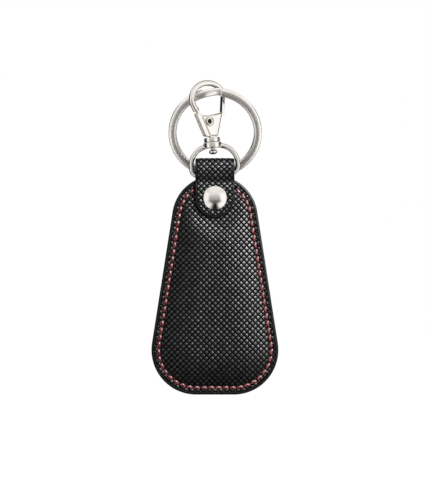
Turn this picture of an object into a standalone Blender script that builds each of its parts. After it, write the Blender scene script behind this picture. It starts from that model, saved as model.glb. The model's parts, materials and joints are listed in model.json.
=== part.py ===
"""Leather key fob on a swivel trigger clasp, with a split key ring.

Metres, +Z up, the fob's front faces -Y. The fob hangs from the clasp, and the
origin is the inner top of the hook, the point on which the whole thing hangs.
"""

from math import asin, atan2, cos, hypot, pi, radians, sin, sqrt

import bmesh
import bpy
import numpy as np
from mathutils import Matrix, Vector
from mathutils.bvhtree import BVHTree

# Shared clearances
GAP = 0.0003
THREAD_GAP = 0.0001
OVERRUN = 0.002
WELD = 0.000001

# How the hardware stands: it leans to the left and the clasp is turned on its swivel
HARDWARE_LEAN = radians(6.0)
CLASP_TURN = radians(29.0)
RING_TILT = radians(22.5)

# Split key ring
RING_OUTER_DIAMETER = 0.030
RING_WIRE_WIDTH = 0.0025
RING_WIRE_THICKNESS = 0.00089
RING_COIL_GAP = 0.00044
RING_CORNER = 0.00028
RING_FRONT_END = radians(7.5)
RING_CROSSOVER = radians(23.5)
RING_POINTS_PER_TURN = 32
RING_CROSSING_STEPS = 3
SECTION_WEIGHT = 50
RING_ACROSS = 0.00267
RING_FORWARD = 0.00080
RING_DROP = 0.0020

# Hook: a round rod bent to a bow, on a flat tang that ends in a round collar
HOOK_ROD_DIAMETER = 0.0019
BOW_HALF_WIDTH = 0.0060
BOW_RISE = 0.0054
BOW_ACROSS = 0.0002
BOW_HEIGHT = 0.0070
BOW_NOSE_ANGLE = radians(10.0)
LIMB_LENGTH = 0.0032
LIMB_INSET = 0.0012
TANG_THICKNESS = 0.0012
TANG_RIGHT = 0.0017
TANG_SHOULDER = 0.0014
TANG_TOP_RIGHT = 0.00067
TANG_TOP_LEFT = 0.00029
COLLAR_DIAMETER = 0.0052
COLLAR_TOP = -0.0052
COLLAR_BOTTOM = -0.0064
COLLAR_CHAMFER = 0.0003

# Gate lever: a folded sheet that straddles the tang, with a finger that closes the hook
PIVOT_ACROSS = -0.00083
LEVER_DEPTH = 0.0025
LEVER_SHEET = 0.00035
LEVER_TOP_LEFT = 0.0052
LEVER_TOP = 0.0030
LEVER_DIP = 0.0020
LEVER_DIP_ACROSS = -0.0017
LEVER_TOP_RIGHT = 0.0044
LEVER_SHOULDER = 0.0028
LEVER_BOTTOM = -0.0047
LEVER_BOTTOM_LEFT = 0.00258
LEVER_BOTTOM_RIGHT = 0.00183
LEVER_CORNER_CUT = 0.0005
FINGER_THICKNESS = 0.0009
FINGER_DEPTH = 0.0016
FINGER_FOOT = 0.0021
FINGER_ROOT_ACROSS = 0.0042
FINGER_INSET = 0.00048
FINGER_BLOCK = 0.0013
GATE_OPENING = radians(15.0)
NOSE_CLEARANCE = 0.00035
NOSE_TRIM = 0.0002
NOSE_CUTTER = 0.0038
PIVOT_SHANK_DIAMETER = 0.0020
PIVOT_BORE_DIAMETER = 0.0013
PIVOT_HEAD_DIAMETER = 0.0030
PIVOT_HEAD_THICKNESS = 0.0003
PIVOT_RUN = 0.0002
SPRING_THICKNESS = 0.00015
SPRING_WIDTH = 0.0010
SPRING_REACH_SHARE = 0.5

# Swivel: a post with a round head turns in the hub of the loop
POST_DIAMETER = 0.0013
POST_HEAD_DIAMETER = 0.0028
POST_HEAD_HEIGHT = 0.0017
POST_SOCKET_DEPTH = 0.0008
HUB_DIAMETER = 0.0058
HUB_HEIGHT = 0.0019
HUB_CHAMFER = 0.0003
LOOP_WIRE_DIAMETER = 0.0016
STRAP_SIDE_ROOM = 0.0004
LOOP_SHOULDER_RADIUS = 0.0060
LOOP_CORNER_RADIUS = 0.00195
LOOP_HEIGHT = 0.00896
LOOP_DROP_FROM_HUB = 0.0002

# Strap: one band folded over the loop's bar, with a round tab on each face
STRAP_WIDTH = 0.0125
STRAP_THICKNESS = 0.0011
STRAP_CORNER = 0.0010
STRAP_FOLD_HEIGHT = 0.00506
STRAP_ACROSS = -0.0002

# Fob outline: a round head and two round bottom corners, joined by straight sides
HEAD_TOP = -0.0005
HEAD_RADIUS = 0.0137
HEAD_FLAT = -0.0017
CORNER_ACROSS = 0.0060
CORNER_CENTRE = -0.0563
CORNER_RADIUS = 0.0143
BOARD_THICKNESS = 0.0005
PANEL_THICKNESS = 0.0008
EDGE_ROUND = 0.0003
GROOVE_INSET = 0.0023
GROOVE_WIDTH = 0.0009
GROOVE_DEPTH = 0.0004
CROWN_FOOT_INSET = 0.0031
CROWN_TOP_INSET = 0.0092
CROWN_HEAD_DROP = 0.0116
FRONT_CROWN = 0.0021
BACK_CROWN = 0.0015

# Seam thread
STITCH_PITCH = 0.00228
STITCH_SHARE = 0.78
THREAD_DIAMETER = 0.0005
THREAD_WAVE = 0.0002

# Strap rivet
RIVET_DROP = -0.00774
RIVET_SHANK_DIAMETER = 0.0030
RIVET_CAP_DIAMETER = 0.0077
RIVET_CAP_RIM = 0.0004
RIVET_CAP_DOME = 0.0012
RIVET_SOCKET_DEPTH = 0.0007
RIVET_BACK_DIAMETER = 0.0068
RIVET_BACK_DOME = 0.0006

# Segments of round forms
ROUND_SEGMENTS = 24
SMALL_SEGMENTS = 16
HEAD_SEGMENTS = 18
CORNER_SEGMENTS = 9
CROWN_STEPS = 6
LIMB_STEPS = 6
BOW_STEPS = 19
DIP_STEPS = 9
SHOULDER_SEGMENTS = 9
BEND_SEGMENTS = 5
FOLD_SEGMENTS = 14
STRAP_CORNER_SEGMENTS = 4
TAB_SEGMENTS = 20
POST_HEAD_STEPS = 5
CAP_STEPS = 7
BACK_CAP_STEPS = 6

# Sizes that follow from those above
LEVER_HALF = LEVER_DEPTH / 2
ROD_RADIUS = HOOK_ROD_DIAMETER / 2
RING_RADIUS = RING_OUTER_DIAMETER / 2 - RING_WIRE_WIDTH / 2
NOSE_ACROSS = BOW_ACROSS + BOW_HALF_WIDTH * cos(BOW_NOSE_ANGLE)
NOSE_UP = BOW_HEIGHT + BOW_RISE * sin(BOW_NOSE_ANGLE)
NOSE_REACH = hypot(NOSE_ACROSS - PIVOT_ACROSS, NOSE_UP) + NOSE_TRIM
GATE_REACH = NOSE_REACH - NOSE_CLEARANCE
FINGER_MIDDLE = FINGER_ROOT_ACROSS + FINGER_THICKNESS / 2
FINGER_SLOPE = (NOSE_ACROSS - FINGER_INSET - FINGER_MIDDLE) / (NOSE_UP - FINGER_FOOT)
HEAD_CENTRE = HEAD_TOP - HEAD_RADIUS
LOOP_INNER_WIDTH = STRAP_WIDTH + 2 * STRAP_SIDE_ROOM
BOARD_FACE = BOARD_THICKNESS / 2
PANEL_BACK = BOARD_FACE + GAP
RIM_FACE = PANEL_BACK + PANEL_THICKNESS
STRAP_INNER = RIM_FACE + GAP
STRAP_OUTER = STRAP_INNER + STRAP_THICKNESS
HUB_TOP = COLLAR_BOTTOM - GAP
HUB_BOTTOM = HUB_TOP - HUB_HEIGHT
POST_HEAD_TOP = HUB_BOTTOM - GAP
LOOP_TOP = (HUB_TOP + HUB_BOTTOM) / 2 - LOOP_DROP_FROM_HUB
BAR_HEIGHT = LOOP_TOP - LOOP_HEIGHT
RIVET_SEAT = STRAP_OUTER + GAP


def make_collection(name):
    collection = bpy.data.collections.new(name)
    bpy.context.scene.collection.children.link(collection)
    return collection


def make_material(name, colour, roughness, metallic):
    material = bpy.data.materials.new(name)
    material.use_nodes = True
    shader = material.node_tree.nodes["Principled BSDF"]
    shader.inputs["Base Color"].default_value = (*colour, 1)
    shader.inputs["Roughness"].default_value = roughness
    shader.inputs["Metallic"].default_value = metallic
    return material


def make_empty(name, parent=None, location=(0, 0, 0), turn=(0, 0, 0)):
    empty = bpy.data.objects.new(name, None)
    empty.location, empty.rotation_euler, empty.parent = location, turn, parent
    PARTS.objects.link(empty)
    return empty


def add(name, mesh, parent, look=None):
    """A finished part where look is a material, or else a hidden helper shape."""
    obj = bpy.data.objects.new(name, mesh)
    obj.parent = parent
    if look is None:
        CUTTERS.objects.link(obj)
        obj.hide_render, obj.display_type = True, "WIRE"
        return obj
    PARTS.objects.link(obj)
    mesh.materials.clear()
    mesh.materials.append(look)
    mesh.shade_smooth()
    mesh.set_sharp_from_angle(angle=radians(35))
    return obj


def boolean(obj, other, operation="DIFFERENCE"):
    modifier = obj.modifiers.new(operation.lower(), "BOOLEAN")
    modifier.object, modifier.operation = other, operation


def evaluated_mesh(data, prepare=None):
    """The evaluated mesh of a curve or profile, welded, with its helper object removed."""
    obj = bpy.data.objects.new(data.name, data)
    bpy.context.scene.collection.objects.link(obj)
    if prepare:
        prepare(obj)
    graph = bpy.context.evaluated_depsgraph_get()
    mesh = bpy.data.meshes.new_from_object(obj.evaluated_get(graph))
    bpy.data.objects.remove(obj)
    bm = bmesh.new()
    bm.from_mesh(mesh)
    bmesh.ops.remove_doubles(bm, verts=bm.verts, dist=WELD)
    bmesh.ops.recalc_face_normals(bm, faces=bm.faces)
    bm.to_mesh(mesh)
    bm.free()
    return mesh


def tube(points, radius, resolution=2, closed=False):
    curve = bpy.data.curves.new("tube", "CURVE")
    curve.dimensions, curve.bevel_depth = "3D", radius
    curve.bevel_resolution, curve.use_fill_caps = resolution, True
    spline = curve.splines.new("POLY")
    spline.points.add(len(points) - 1)
    for point, place in zip(spline.points, points):
        point.co = (*place, 1)
    spline.use_cyclic_u = closed
    return evaluated_mesh(curve)


def plate(outline, thickness):
    """A flat outline of (across, up) points with its thickness along Y, centred on it."""
    curve = bpy.data.curves.new("plate", "CURVE")
    curve.dimensions, curve.fill_mode, curve.extrude = "2D", "BOTH", thickness / 2
    spline = curve.splines.new("POLY")
    spline.points.add(len(outline) - 1)
    for point, (across, up) in zip(spline.points, outline):
        point.co = (across, up, 0, 1)
    spline.use_cyclic_u = True
    mesh = evaluated_mesh(curve)
    mesh.transform(Matrix.Rotation(pi / 2, 4, "X"))
    return mesh


def turned(profile, segments):
    """A solid turned about Z from (radius, height) points that run from top to bottom."""
    bm = bmesh.new()
    verts = [bm.verts.new((radius, 0, height)) for radius, height in profile]
    for pair in zip(verts, verts[1:]):
        bm.edges.new(pair)
    mesh = bpy.data.meshes.new("turned")
    bm.to_mesh(mesh)
    bm.free()

    def screw(obj):
        modifier = obj.modifiers.new("turn", "SCREW")
        modifier.steps = modifier.render_steps = segments
        modifier.use_merge_vertices, modifier.merge_threshold = True, WELD

    return evaluated_mesh(mesh, screw)


def cylinder(radius, low, high, segments=ROUND_SEGMENTS):
    bm = bmesh.new()
    bmesh.ops.create_cone(
        bm,
        cap_ends=True,
        segments=segments,
        radius1=radius,
        radius2=radius,
        depth=high - low,
        matrix=Matrix.Translation((0, 0, (low + high) / 2)),
    )
    mesh = bpy.data.meshes.new("cylinder")
    bm.to_mesh(mesh)
    bm.free()
    return mesh


def along_y(mesh):
    """Lays a shape turned about Z so that its top points to the front, -Y."""
    mesh.transform(Matrix.Rotation(pi / 2, 4, "X"))
    return mesh


def arc(centre, radius, start, end, segments):
    """Points on an arc in (across, up), angles from +X."""
    angles = np.linspace(start, end, segments + 1)
    return [(centre[0] + radius * cos(a), centre[1] + radius * sin(a)) for a in angles]


def loft(rings):
    """A closed solid through rings of equal count, its two end rings filled."""
    bm = bmesh.new()
    loops = [[bm.verts.new(place) for place in ring] for ring in rings]
    for low, high in zip(loops, loops[1:]):
        for n in range(len(low)):
            m = (n + 1) % len(low)
            bm.faces.new((low[n], low[m], high[m], high[n]))
    bm.faces.new(loops[0][::-1])
    bm.faces.new(loops[-1])
    bmesh.ops.recalc_face_normals(bm, faces=bm.faces)
    mesh = bpy.data.meshes.new("loft")
    bm.to_mesh(mesh)
    bm.free()
    return mesh


# The split ring: one flat wire wound twice, which crosses from the front coil to the back


def ring_profile():
    """The wire's section as a closed curve, its width across and its thickness up."""
    curve = bpy.data.curves.new("ring wire section", "CURVE")
    curve.dimensions = "2D"
    half_width = RING_WIRE_WIDTH / 2 - RING_CORNER
    half_height = RING_WIRE_THICKNESS / 2 - RING_CORNER
    corners = [(half_width, half_height, 0), (-half_width, half_height, pi / 2)]
    corners += [(-half_width, -half_height, pi), (half_width, -half_height, 3 * pi / 2)]
    points = []
    for across, up, start in corners:
        points += arc((across, up), RING_CORNER, start, start + pi / 2, 2)
    spline = curve.splines.new("POLY")
    spline.points.add(len(points) - 1)
    for point, (across, up) in zip(spline.points, points):
        point.co = (across, up, 0, 1)
    spline.use_cyclic_u = True
    obj = bpy.data.objects.new("ring_wire_section", curve)
    CUTTERS.objects.link(obj)
    obj.hide_render = True
    return obj


def ring_path():
    """Two turns, clockwise from the front end, about a centre that is below the origin."""
    level = (RING_WIRE_THICKNESS + RING_COIL_GAP) / 2
    behind = RING_FRONT_END + 2 * pi
    before, end = behind - RING_CROSSOVER, behind + 2 * pi - RING_CROSSOVER
    front = np.linspace(RING_FRONT_END, before, RING_POINTS_PER_TURN)
    cross = np.linspace(before, behind, RING_CROSSING_STEPS + 1)[1:]
    rear = np.linspace(behind, end, RING_POINTS_PER_TURN)[1:]
    points = []
    for angle in [*front, *cross, *rear]:
        crossing = (angle - before) / RING_CROSSOVER
        share = min(max(crossing, 0), 1)
        height = level * (1 - 2 * share * share * (3 - 2 * share))
        points.append(
            (RING_RADIUS * sin(angle), RING_RADIUS * (cos(angle) - 1), height)
        )
    return points


def least_gap(mesh, points, apart):
    """The least distance from a corner to a face that is some points away along the wire."""
    corners = [vertex.co for vertex in mesh.vertices]
    faces = BVHTree.FromPolygons(corners, [list(face.vertices) for face in mesh.polygons])
    path = np.array(points)
    ahead = np.gradient(path, axis=0)
    ahead /= np.linalg.norm(ahead, axis=1)[:, None]
    section = []
    for corner in corners:
        offset = np.array(corner) - path
        out_of_plane = abs((offset * ahead).sum(axis=1))
        reach = np.linalg.norm(offset, axis=1) + SECTION_WEIGHT * out_of_plane
        section.append(reach.argmin())
    least = RING_WIRE_WIDTH
    for corner, own in zip(corners, section):
        for _, _, number, distance in faces.find_nearest_range(corner, RING_WIRE_WIDTH):
            if abs(section[mesh.polygons[number].vertices[0]] - own) > apart:
                least = min(least, distance)
    return least


def make_key_ring(pivot, look):
    curve = bpy.data.curves.new("key ring", "CURVE")
    curve.dimensions, curve.twist_mode, curve.use_fill_caps = "3D", "Z_UP", True
    curve.bevel_mode, curve.bevel_object = "OBJECT", ring_profile()
    points = ring_path()
    spline = curve.splines.new("POLY")
    spline.points.add(len(points) - 1)
    for point, place in zip(spline.points, points):
        point.co = (*place, 1)
    mesh = evaluated_mesh(curve)
    gap = least_gap(mesh, points, RING_POINTS_PER_TURN // 2)
    print(f"key ring: least gap between its two coils {1000 * gap:.2f} mm")
    add("key_ring", mesh, pivot, look)


# The clasp: shapes in its own frame, X across the hook, Z along it, the pivot's level at 0


def hook_path():
    """From the limb's foot on the left, over the bow, to the nose on the right."""
    left = BOW_ACROSS - BOW_HALF_WIDTH
    points = []
    for share in np.linspace(1, 0, LIMB_STEPS)[:-1]:
        inset = LIMB_INSET * share**1.5
        points.append((left + inset, 0, BOW_HEIGHT - LIMB_LENGTH * share))
    for angle in np.linspace(pi, BOW_NOSE_ANGLE, BOW_STEPS):
        across = BOW_ACROSS + BOW_HALF_WIDTH * cos(angle)
        points.append((across, 0, BOW_HEIGHT + BOW_RISE * sin(angle)))
    return points


def lever_left(height, inward=0.0):
    """Where the web's outer face lies at a height, moved inward by a wall."""
    slope = (LEVER_TOP_LEFT - LEVER_BOTTOM_LEFT) / (LEVER_TOP - LEVER_BOTTOM)
    outer = LEVER_BOTTOM_LEFT + slope * (height - LEVER_BOTTOM)
    return -outer + inward * hypot(1, slope)


def opened(across, up, turn):
    """Where a point of the lever goes when the gate is opened by a turn."""
    away = across - PIVOT_ACROSS
    return (
        PIVOT_ACROSS + away * cos(turn) - up * sin(turn),
        away * sin(turn) + up * cos(turn),
    )


def tang_outline():
    """The flat middle of the hook. Its left edge leaves the web room to swing in."""
    foot = BOW_HEIGHT - LIMB_LENGTH
    limb = BOW_ACROSS - BOW_HALF_WIDTH + LIMB_INSET
    inner = LEVER_SHEET + GAP
    room = inner + GAP + SPRING_THICKNESS
    low = opened(lever_left(LEVER_BOTTOM, room), LEVER_BOTTOM, GATE_OPENING)
    high = opened(lever_left(LEVER_TOP, room), LEVER_TOP, GATE_OPENING)
    slope = (high[0] - low[0]) / (high[1] - low[1])
    crossing = low[0] - slope * low[1]
    rest = lever_left(0, inner)
    rest_slope = lever_left(1, inner) - rest
    waist = (crossing - rest) / (rest_slope - slope)
    return [
        (low[0], COLLAR_BOTTOM + POST_SOCKET_DEPTH),
        (TANG_RIGHT, COLLAR_BOTTOM + POST_SOCKET_DEPTH),
        (TANG_RIGHT, TANG_SHOULDER),
        (LEVER_DIP_ACROSS, TANG_SHOULDER),
        (limb + ROD_RADIUS, LEVER_TOP),
        (limb + TANG_TOP_RIGHT, foot + ROD_RADIUS),
        (limb - TANG_TOP_LEFT, foot + ROD_RADIUS),
        (lever_left(LEVER_TOP, inner), LEVER_TOP),
        (rest + rest_slope * waist, waist),
        (low[0], low[1]),
    ]


def gate_direction():
    """The unit direction from the pivot to the gate's tip, across and up."""
    across = FINGER_MIDDLE - PIVOT_ACROSS
    up = sqrt(GATE_REACH**2 - across**2)
    for _ in range(20):
        reach = across + FINGER_SLOPE * (up - FINGER_FOOT)
        up = sqrt(GATE_REACH**2 - reach**2)
    return reach / GATE_REACH, up / GATE_REACH


def make_hook(frame, look):
    hook = add("hook_body", tube(hook_path(), ROD_RADIUS, 3), frame, look)
    tang = add("tang_shape", plate(tang_outline(), TANG_THICKNESS), frame)
    radius, chamfer = COLLAR_DIAMETER / 2, COLLAR_CHAMFER
    profile = [(0, COLLAR_TOP), (radius - chamfer, COLLAR_TOP)]
    profile += [(radius, COLLAR_TOP - chamfer), (radius, COLLAR_BOTTOM + chamfer)]
    profile += [(radius - chamfer, COLLAR_BOTTOM), (0, COLLAR_BOTTOM)]
    collar = add("collar_shape", turned(profile, ROUND_SEGMENTS), frame)
    bore = PIVOT_SHANK_DIAMETER / 2 + PIVOT_RUN
    hole = add("tang_hole", along_y(cylinder(bore, -LEVER_DEPTH, LEVER_DEPTH)), frame)
    hole.location.x = PIVOT_ACROSS
    socket = cylinder(
        POST_DIAMETER / 2 + GAP,
        COLLAR_BOTTOM - OVERRUN,
        COLLAR_BOTTOM + POST_SOCKET_DEPTH,
        SMALL_SEGMENTS,
    )
    across, up = gate_direction()
    bm = bmesh.new()
    bmesh.ops.create_cube(bm, size=NOSE_CUTTER)
    block = bpy.data.meshes.new("nose cut")
    bm.to_mesh(block)
    bm.free()
    nose = add("nose_cut", block, frame)
    away = NOSE_REACH - NOSE_CUTTER / 2
    nose.location = (PIVOT_ACROSS + away * across, 0, away * up)
    nose.rotation_euler.y = atan2(across, up)
    boolean(hook, tang, "UNION")
    boolean(hook, collar, "UNION")
    boolean(hook, hole)
    boolean(hook, add("post_socket", socket, frame))
    boolean(hook, nose)


def lever_outline():
    """Seen from the front: a hollow top edge, straight flanks, a level foot."""
    left, right = -LEVER_TOP_LEFT, LEVER_TOP_RIGHT
    cut = LEVER_BOTTOM + LEVER_CORNER_CUT
    points = [(lever_left(cut), cut), (lever_left(LEVER_BOTTOM, LEVER_CORNER_CUT), LEVER_BOTTOM)]
    points += [(LEVER_BOTTOM_RIGHT, LEVER_BOTTOM), (right, LEVER_SHOULDER)]
    middle = LEVER_DIP_ACROSS
    for share in np.linspace(1, -1, DIP_STEPS)[1:-1]:
        side = right if share > 0 else left
        rise = (LEVER_SHOULDER if share > 0 else LEVER_TOP) - LEVER_DIP
        points.append((middle + abs(share) * (side - middle), LEVER_DIP + rise * share**2))
    points.append((left, LEVER_TOP))
    return points


def finger_outline(direction):
    """The gate's finger, whose end is square to the line from the pivot."""
    across, up = direction
    ends = []
    for side in (0, FINGER_THICKNESS):
        root = FINGER_ROOT_ACROSS + side
        reach = GATE_REACH - across * (root - FINGER_SLOPE * FINGER_FOOT - PIVOT_ACROSS)
        height = reach / (across * FINGER_SLOPE + up)
        ends.append((root + FINGER_SLOPE * (height - FINGER_FOOT), height))
    foot = FINGER_FOOT - FINGER_BLOCK / 2
    right = FINGER_ROOT_ACROSS + FINGER_THICKNESS
    return [
        (FINGER_ROOT_ACROSS - FINGER_THICKNESS / 2, foot),
        (FINGER_ROOT_ACROSS, foot),
        (right, FINGER_FOOT),
        ends[1],
        ends[0],
        (FINGER_ROOT_ACROSS, FINGER_FOOT),
    ]


def make_gate(pivot, look):
    """The lever's own frame has its origin on the pivot."""
    shift = Matrix.Translation((-PIVOT_ACROSS, 0, 0))

    def shaped(name, mesh, finish=None):
        mesh.transform(shift)
        return add(name, mesh, pivot, finish)

    inner = LEVER_DEPTH - 2 * LEVER_SHEET
    root = FINGER_ROOT_ACROSS - FINGER_THICKNESS
    foot = FINGER_FOOT - FINGER_BLOCK
    top, bottom = LEVER_TOP + OVERRUN, LEVER_BOTTOM - OVERRUN
    far = LEVER_TOP_RIGHT + OVERRUN
    hollow = [(lever_left(bottom, LEVER_SHEET), bottom), (far, bottom), (far, foot)]
    hollow += [(root, foot), (root, top), (lever_left(top, LEVER_SHEET), top)]
    lever = shaped("gate_lever", plate(lever_outline(), LEVER_DEPTH), look)
    finger = shaped("finger_shape", plate(finger_outline(gate_direction()), FINGER_DEPTH))
    bore = PIVOT_SHANK_DIAMETER / 2 + PIVOT_RUN
    hole = add("lever_hole", along_y(cylinder(bore, -LEVER_DEPTH, LEVER_DEPTH)), pivot)
    boolean(lever, shaped("lever_hollow", plate(hollow, inner)))
    boolean(lever, finger, "UNION")
    boolean(lever, hole)


def make_pivot_rivet(pivot, look):
    bore, shank = PIVOT_BORE_DIAMETER / 2, PIVOT_SHANK_DIAMETER / 2
    head = PIVOT_HEAD_DIAMETER / 2
    under = LEVER_HALF + PIVOT_RUN
    face = under + PIVOT_HEAD_THICKNESS
    rim = head - PIVOT_HEAD_THICKNESS / 2
    profile = [(bore, face), (rim, face), (head, under), (shank, under)]
    profile += [(shank, -under), (head, -under), (rim, -face), (bore, -face)]
    profile.append((bore, face))
    add("gate_rivet", along_y(turned(profile, ROUND_SEGMENTS)), pivot, look)


def make_gate_spring(frame, look):
    """A leaf along the tang's edge, where the web comes when the gate is pushed open."""
    inner = LEVER_SHEET + GAP
    outline = []
    for depth, share in ((0, 0), (0, 1), (SPRING_THICKNESS, 1), (SPRING_THICKNESS, 0)):
        height = LEVER_BOTTOM * (1 - SPRING_REACH_SHARE * share)
        place = opened(lever_left(height, inner + depth), height, GATE_OPENING)
        outline.append(place)
    add("gate_spring", plate(outline, SPRING_WIDTH), frame, look)


def make_swivel_post(frame, look):
    shank, head = POST_DIAMETER / 2, POST_HEAD_DIAMETER / 2
    top = COLLAR_BOTTOM + POST_SOCKET_DEPTH - GAP
    profile = [(0, top), (shank, top), (shank, POST_HEAD_TOP), (head, POST_HEAD_TOP)]
    half = POST_HEAD_HEIGHT / 2
    for angle in np.linspace(0, pi / 2, POST_HEAD_STEPS):
        height = POST_HEAD_TOP - half - half * sin(angle)
        profile.append((head * cos(angle), height))
    add("swivel_post", turned(profile, SMALL_SEGMENTS), frame, look)


def make_swivel_loop(frame, look):
    """A round wire loop with a level bar, and a thick hub at its top."""
    radius = LOOP_WIRE_DIAMETER / 2
    half = LOOP_INNER_WIDTH / 2 + radius
    shoulder, corner = LOOP_SHOULDER_RADIUS, LOOP_CORNER_RADIUS
    top, bar = LOOP_TOP - shoulder, BAR_HEIGHT + corner
    path = arc((half - shoulder, top), shoulder, pi / 2, 0, SHOULDER_SEGMENTS)
    path += arc((half - corner, bar), corner, 0, -pi / 2, BEND_SEGMENTS)
    path += arc((corner - half, bar), corner, -pi / 2, -pi, BEND_SEGMENTS)
    path += arc((shoulder - half, top), shoulder, pi, pi / 2, SHOULDER_SEGMENTS)
    points = [(across, 0, up) for across, up in path]
    loop = add("swivel_loop", tube(points, radius, 3, True), frame, look)
    rim, chamfer = HUB_DIAMETER / 2, HUB_CHAMFER
    profile = [(0, HUB_TOP), (rim - chamfer, HUB_TOP), (rim, HUB_TOP - chamfer)]
    profile += [(rim, HUB_BOTTOM + chamfer), (rim - chamfer, HUB_BOTTOM), (0, HUB_BOTTOM)]
    hub = add("hub_shape", turned(profile, ROUND_SEGMENTS), frame)
    bore = POST_DIAMETER / 2 + GAP
    cut = cylinder(bore, HUB_BOTTOM - OVERRUN, HUB_TOP + OVERRUN, SMALL_SEGMENTS)
    boolean(loop, hub, "UNION")
    boolean(loop, add("hub_bore", cut, frame))


# The fob: shapes in its own frame, whose origin is the middle of the loop's bar


def belt(inset, head_drop=0.0):
    """The fob's outline moved in by an inset, with its head moved down by a drop."""
    run = HEAD_CENTRE - head_drop - CORNER_CENTRE
    lean = atan2(CORNER_ACROSS, run)
    lean += asin((CORNER_RADIUS - HEAD_RADIUS) / hypot(CORNER_ACROSS, run))
    head, corner = HEAD_RADIUS - inset, CORNER_RADIUS - inset
    points = arc((0, HEAD_CENTRE - head_drop), head, lean, pi - lean, HEAD_SEGMENTS)
    centre = (-CORNER_ACROSS, CORNER_CENTRE)
    points += arc(centre, corner, pi - lean, 1.5 * pi, CORNER_SEGMENTS)
    centre = (CORNER_ACROSS, CORNER_CENTRE)
    points += arc(centre, corner, 1.5 * pi, 2 * pi + lean, CORNER_SEGMENTS)
    flat = HEAD_FLAT - inset
    return [(across, min(up, flat)) for across, up in points]


def ring_at(inset, face, head_drop=0.0, side=-1):
    return [(across, side * face, up) for across, up in belt(inset, head_drop)]


def crown_rings(side, crown, base, inset_more=0.0, start=0.0):
    """Rings up a soft crown, from its foot near the seam to its level top."""
    rings = []
    for share in np.linspace(start, 1, CROWN_STEPS):
        inset = CROWN_FOOT_INSET + (CROWN_TOP_INSET - CROWN_FOOT_INSET) * share
        face = base + crown * sin(share * pi / 2)
        rings.append(ring_at(inset + inset_more, face, CROWN_HEAD_DROP, side))
    return rings


def make_panel(name, side, crown, frame, look):
    """A leather shell, with a stitch groove in its rim and a crown pressed out."""
    inner = crown_rings(side, crown, PANEL_BACK, PANEL_THICKNESS)[::-1]
    half, floor = GROOVE_WIDTH / 2, RIM_FACE - GROOVE_DEPTH
    rings = inner + [ring_at(0, PANEL_BACK, 0, side)]
    rings.append(ring_at(0, RIM_FACE - EDGE_ROUND, 0, side))
    rings.append(ring_at(EDGE_ROUND, RIM_FACE, 0, side))
    rings.append(ring_at(GROOVE_INSET - half, RIM_FACE, 0, side))
    rings.append(ring_at(GROOVE_INSET - half, floor, 0, side))
    rings.append(ring_at(GROOVE_INSET + half, floor, 0, side))
    rings.append(ring_at(GROOVE_INSET + half, RIM_FACE, 0, side))
    rings += crown_rings(side, crown, RIM_FACE)
    panel = add(name, loft(rings), frame, look)
    boolean(panel, RIVET_HOLE[0])


def make_padding(name, side, crown, frame, look):
    """The foam that fills the hollow behind a panel's crown."""
    more = PANEL_THICKNESS + GAP
    start = asin(GAP / crown) / (pi / 2)
    rings = crown_rings(side, crown, PANEL_BACK - GAP, more, start)
    add(name, loft(rings), frame, look)


def seam_path(side):
    """A thread in the groove that dips once a stitch, from one edge of the strap round
    to the other."""
    path = np.array(belt(GROOVE_INSET))
    edge = STRAP_WIDTH / 2 + GAP + THREAD_DIAMETER / 2
    head = [n for n in range(HEAD_SEGMENTS + 1) if abs(path[n][0]) < edge]
    path = np.roll(path, -head[-1] - 1, axis=0)[: len(path) - len(head)]
    radius = HEAD_RADIUS - GROOVE_INSET
    start = (edge, HEAD_CENTRE + sqrt(radius**2 - edge**2))
    path = np.vstack([(-start[0], start[1]), path, start])
    steps = np.linalg.norm(np.diff(path, axis=0), axis=1)
    run = np.concatenate([[0], np.cumsum(steps)])
    count = round(run[-1] / STITCH_PITCH)
    low = RIM_FACE - GROOVE_DEPTH + THREAD_GAP + THREAD_DIAMETER / 2
    pitch = run[-1] / count
    points = []
    for n in range(count):
        rests = pitch * (1 - STITCH_SHARE) / 2
        crest = pitch * (0.5 - STITCH_SHARE / 4), pitch * (0.5 + STITCH_SHARE / 4)
        for along, lift in ((rests / 2, 0), (crest[0], 1), (crest[1], 1)):
            place = n * pitch + along
            across = np.interp(place, run, path[:, 0])
            up = np.interp(place, run, path[:, 1])
            points.append((across, side * (low + lift * THREAD_WAVE), up))
    return points, count


def make_stitching(name, side, frame, look):
    points, count = seam_path(side)
    print(f"{name}: {count} stitches")
    add(name, tube(points, THREAD_DIAMETER / 2, 1), frame, look)


def make_board(frame, look):
    board = add("stiffener_board", plate(belt(0), BOARD_THICKNESS), frame, look)
    boolean(board, RIVET_HOLE[0])


def strap_side():
    """The band seen from the side: up the front, over the bar and down the back."""
    foot = RIVET_DROP - STRAP_WIDTH
    centre = (0, STRAP_FOLD_HEIGHT - STRAP_OUTER)
    outer = arc(centre, STRAP_OUTER, 0, pi, FOLD_SEGMENTS)
    inner = arc(centre, STRAP_INNER, pi, 0, FOLD_SEGMENTS)
    points = [(STRAP_OUTER, foot)] + outer + [(-STRAP_OUTER, foot)]
    return points + [(-STRAP_INNER, foot)] + inner + [(STRAP_INNER, foot)]


def strap_front():
    """The band seen from the front: round corners at the fold, a half-round tab."""
    half, corner = STRAP_WIDTH / 2, STRAP_CORNER
    top, segments = STRAP_FOLD_HEIGHT - corner, STRAP_CORNER_SEGMENTS
    points = arc((half - corner, top), corner, 0, pi / 2, segments)
    points += arc((corner - half, top), corner, pi / 2, pi, segments)
    points += arc((0, RIVET_DROP), half, pi, 2 * pi, TAB_SEGMENTS)
    return points


def make_strap(frame, look):
    mesh = plate(strap_side(), STRAP_WIDTH + OVERRUN)
    mesh.transform(Matrix.Rotation(pi / 2, 4, "Z"))
    strap = add("strap", mesh, frame, look)
    outline = plate(strap_front(), 2 * STRAP_OUTER + OVERRUN)
    boolean(strap, add("strap_outline", outline, frame), "INTERSECT")
    boolean(strap, RIVET_HOLE[0])


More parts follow.
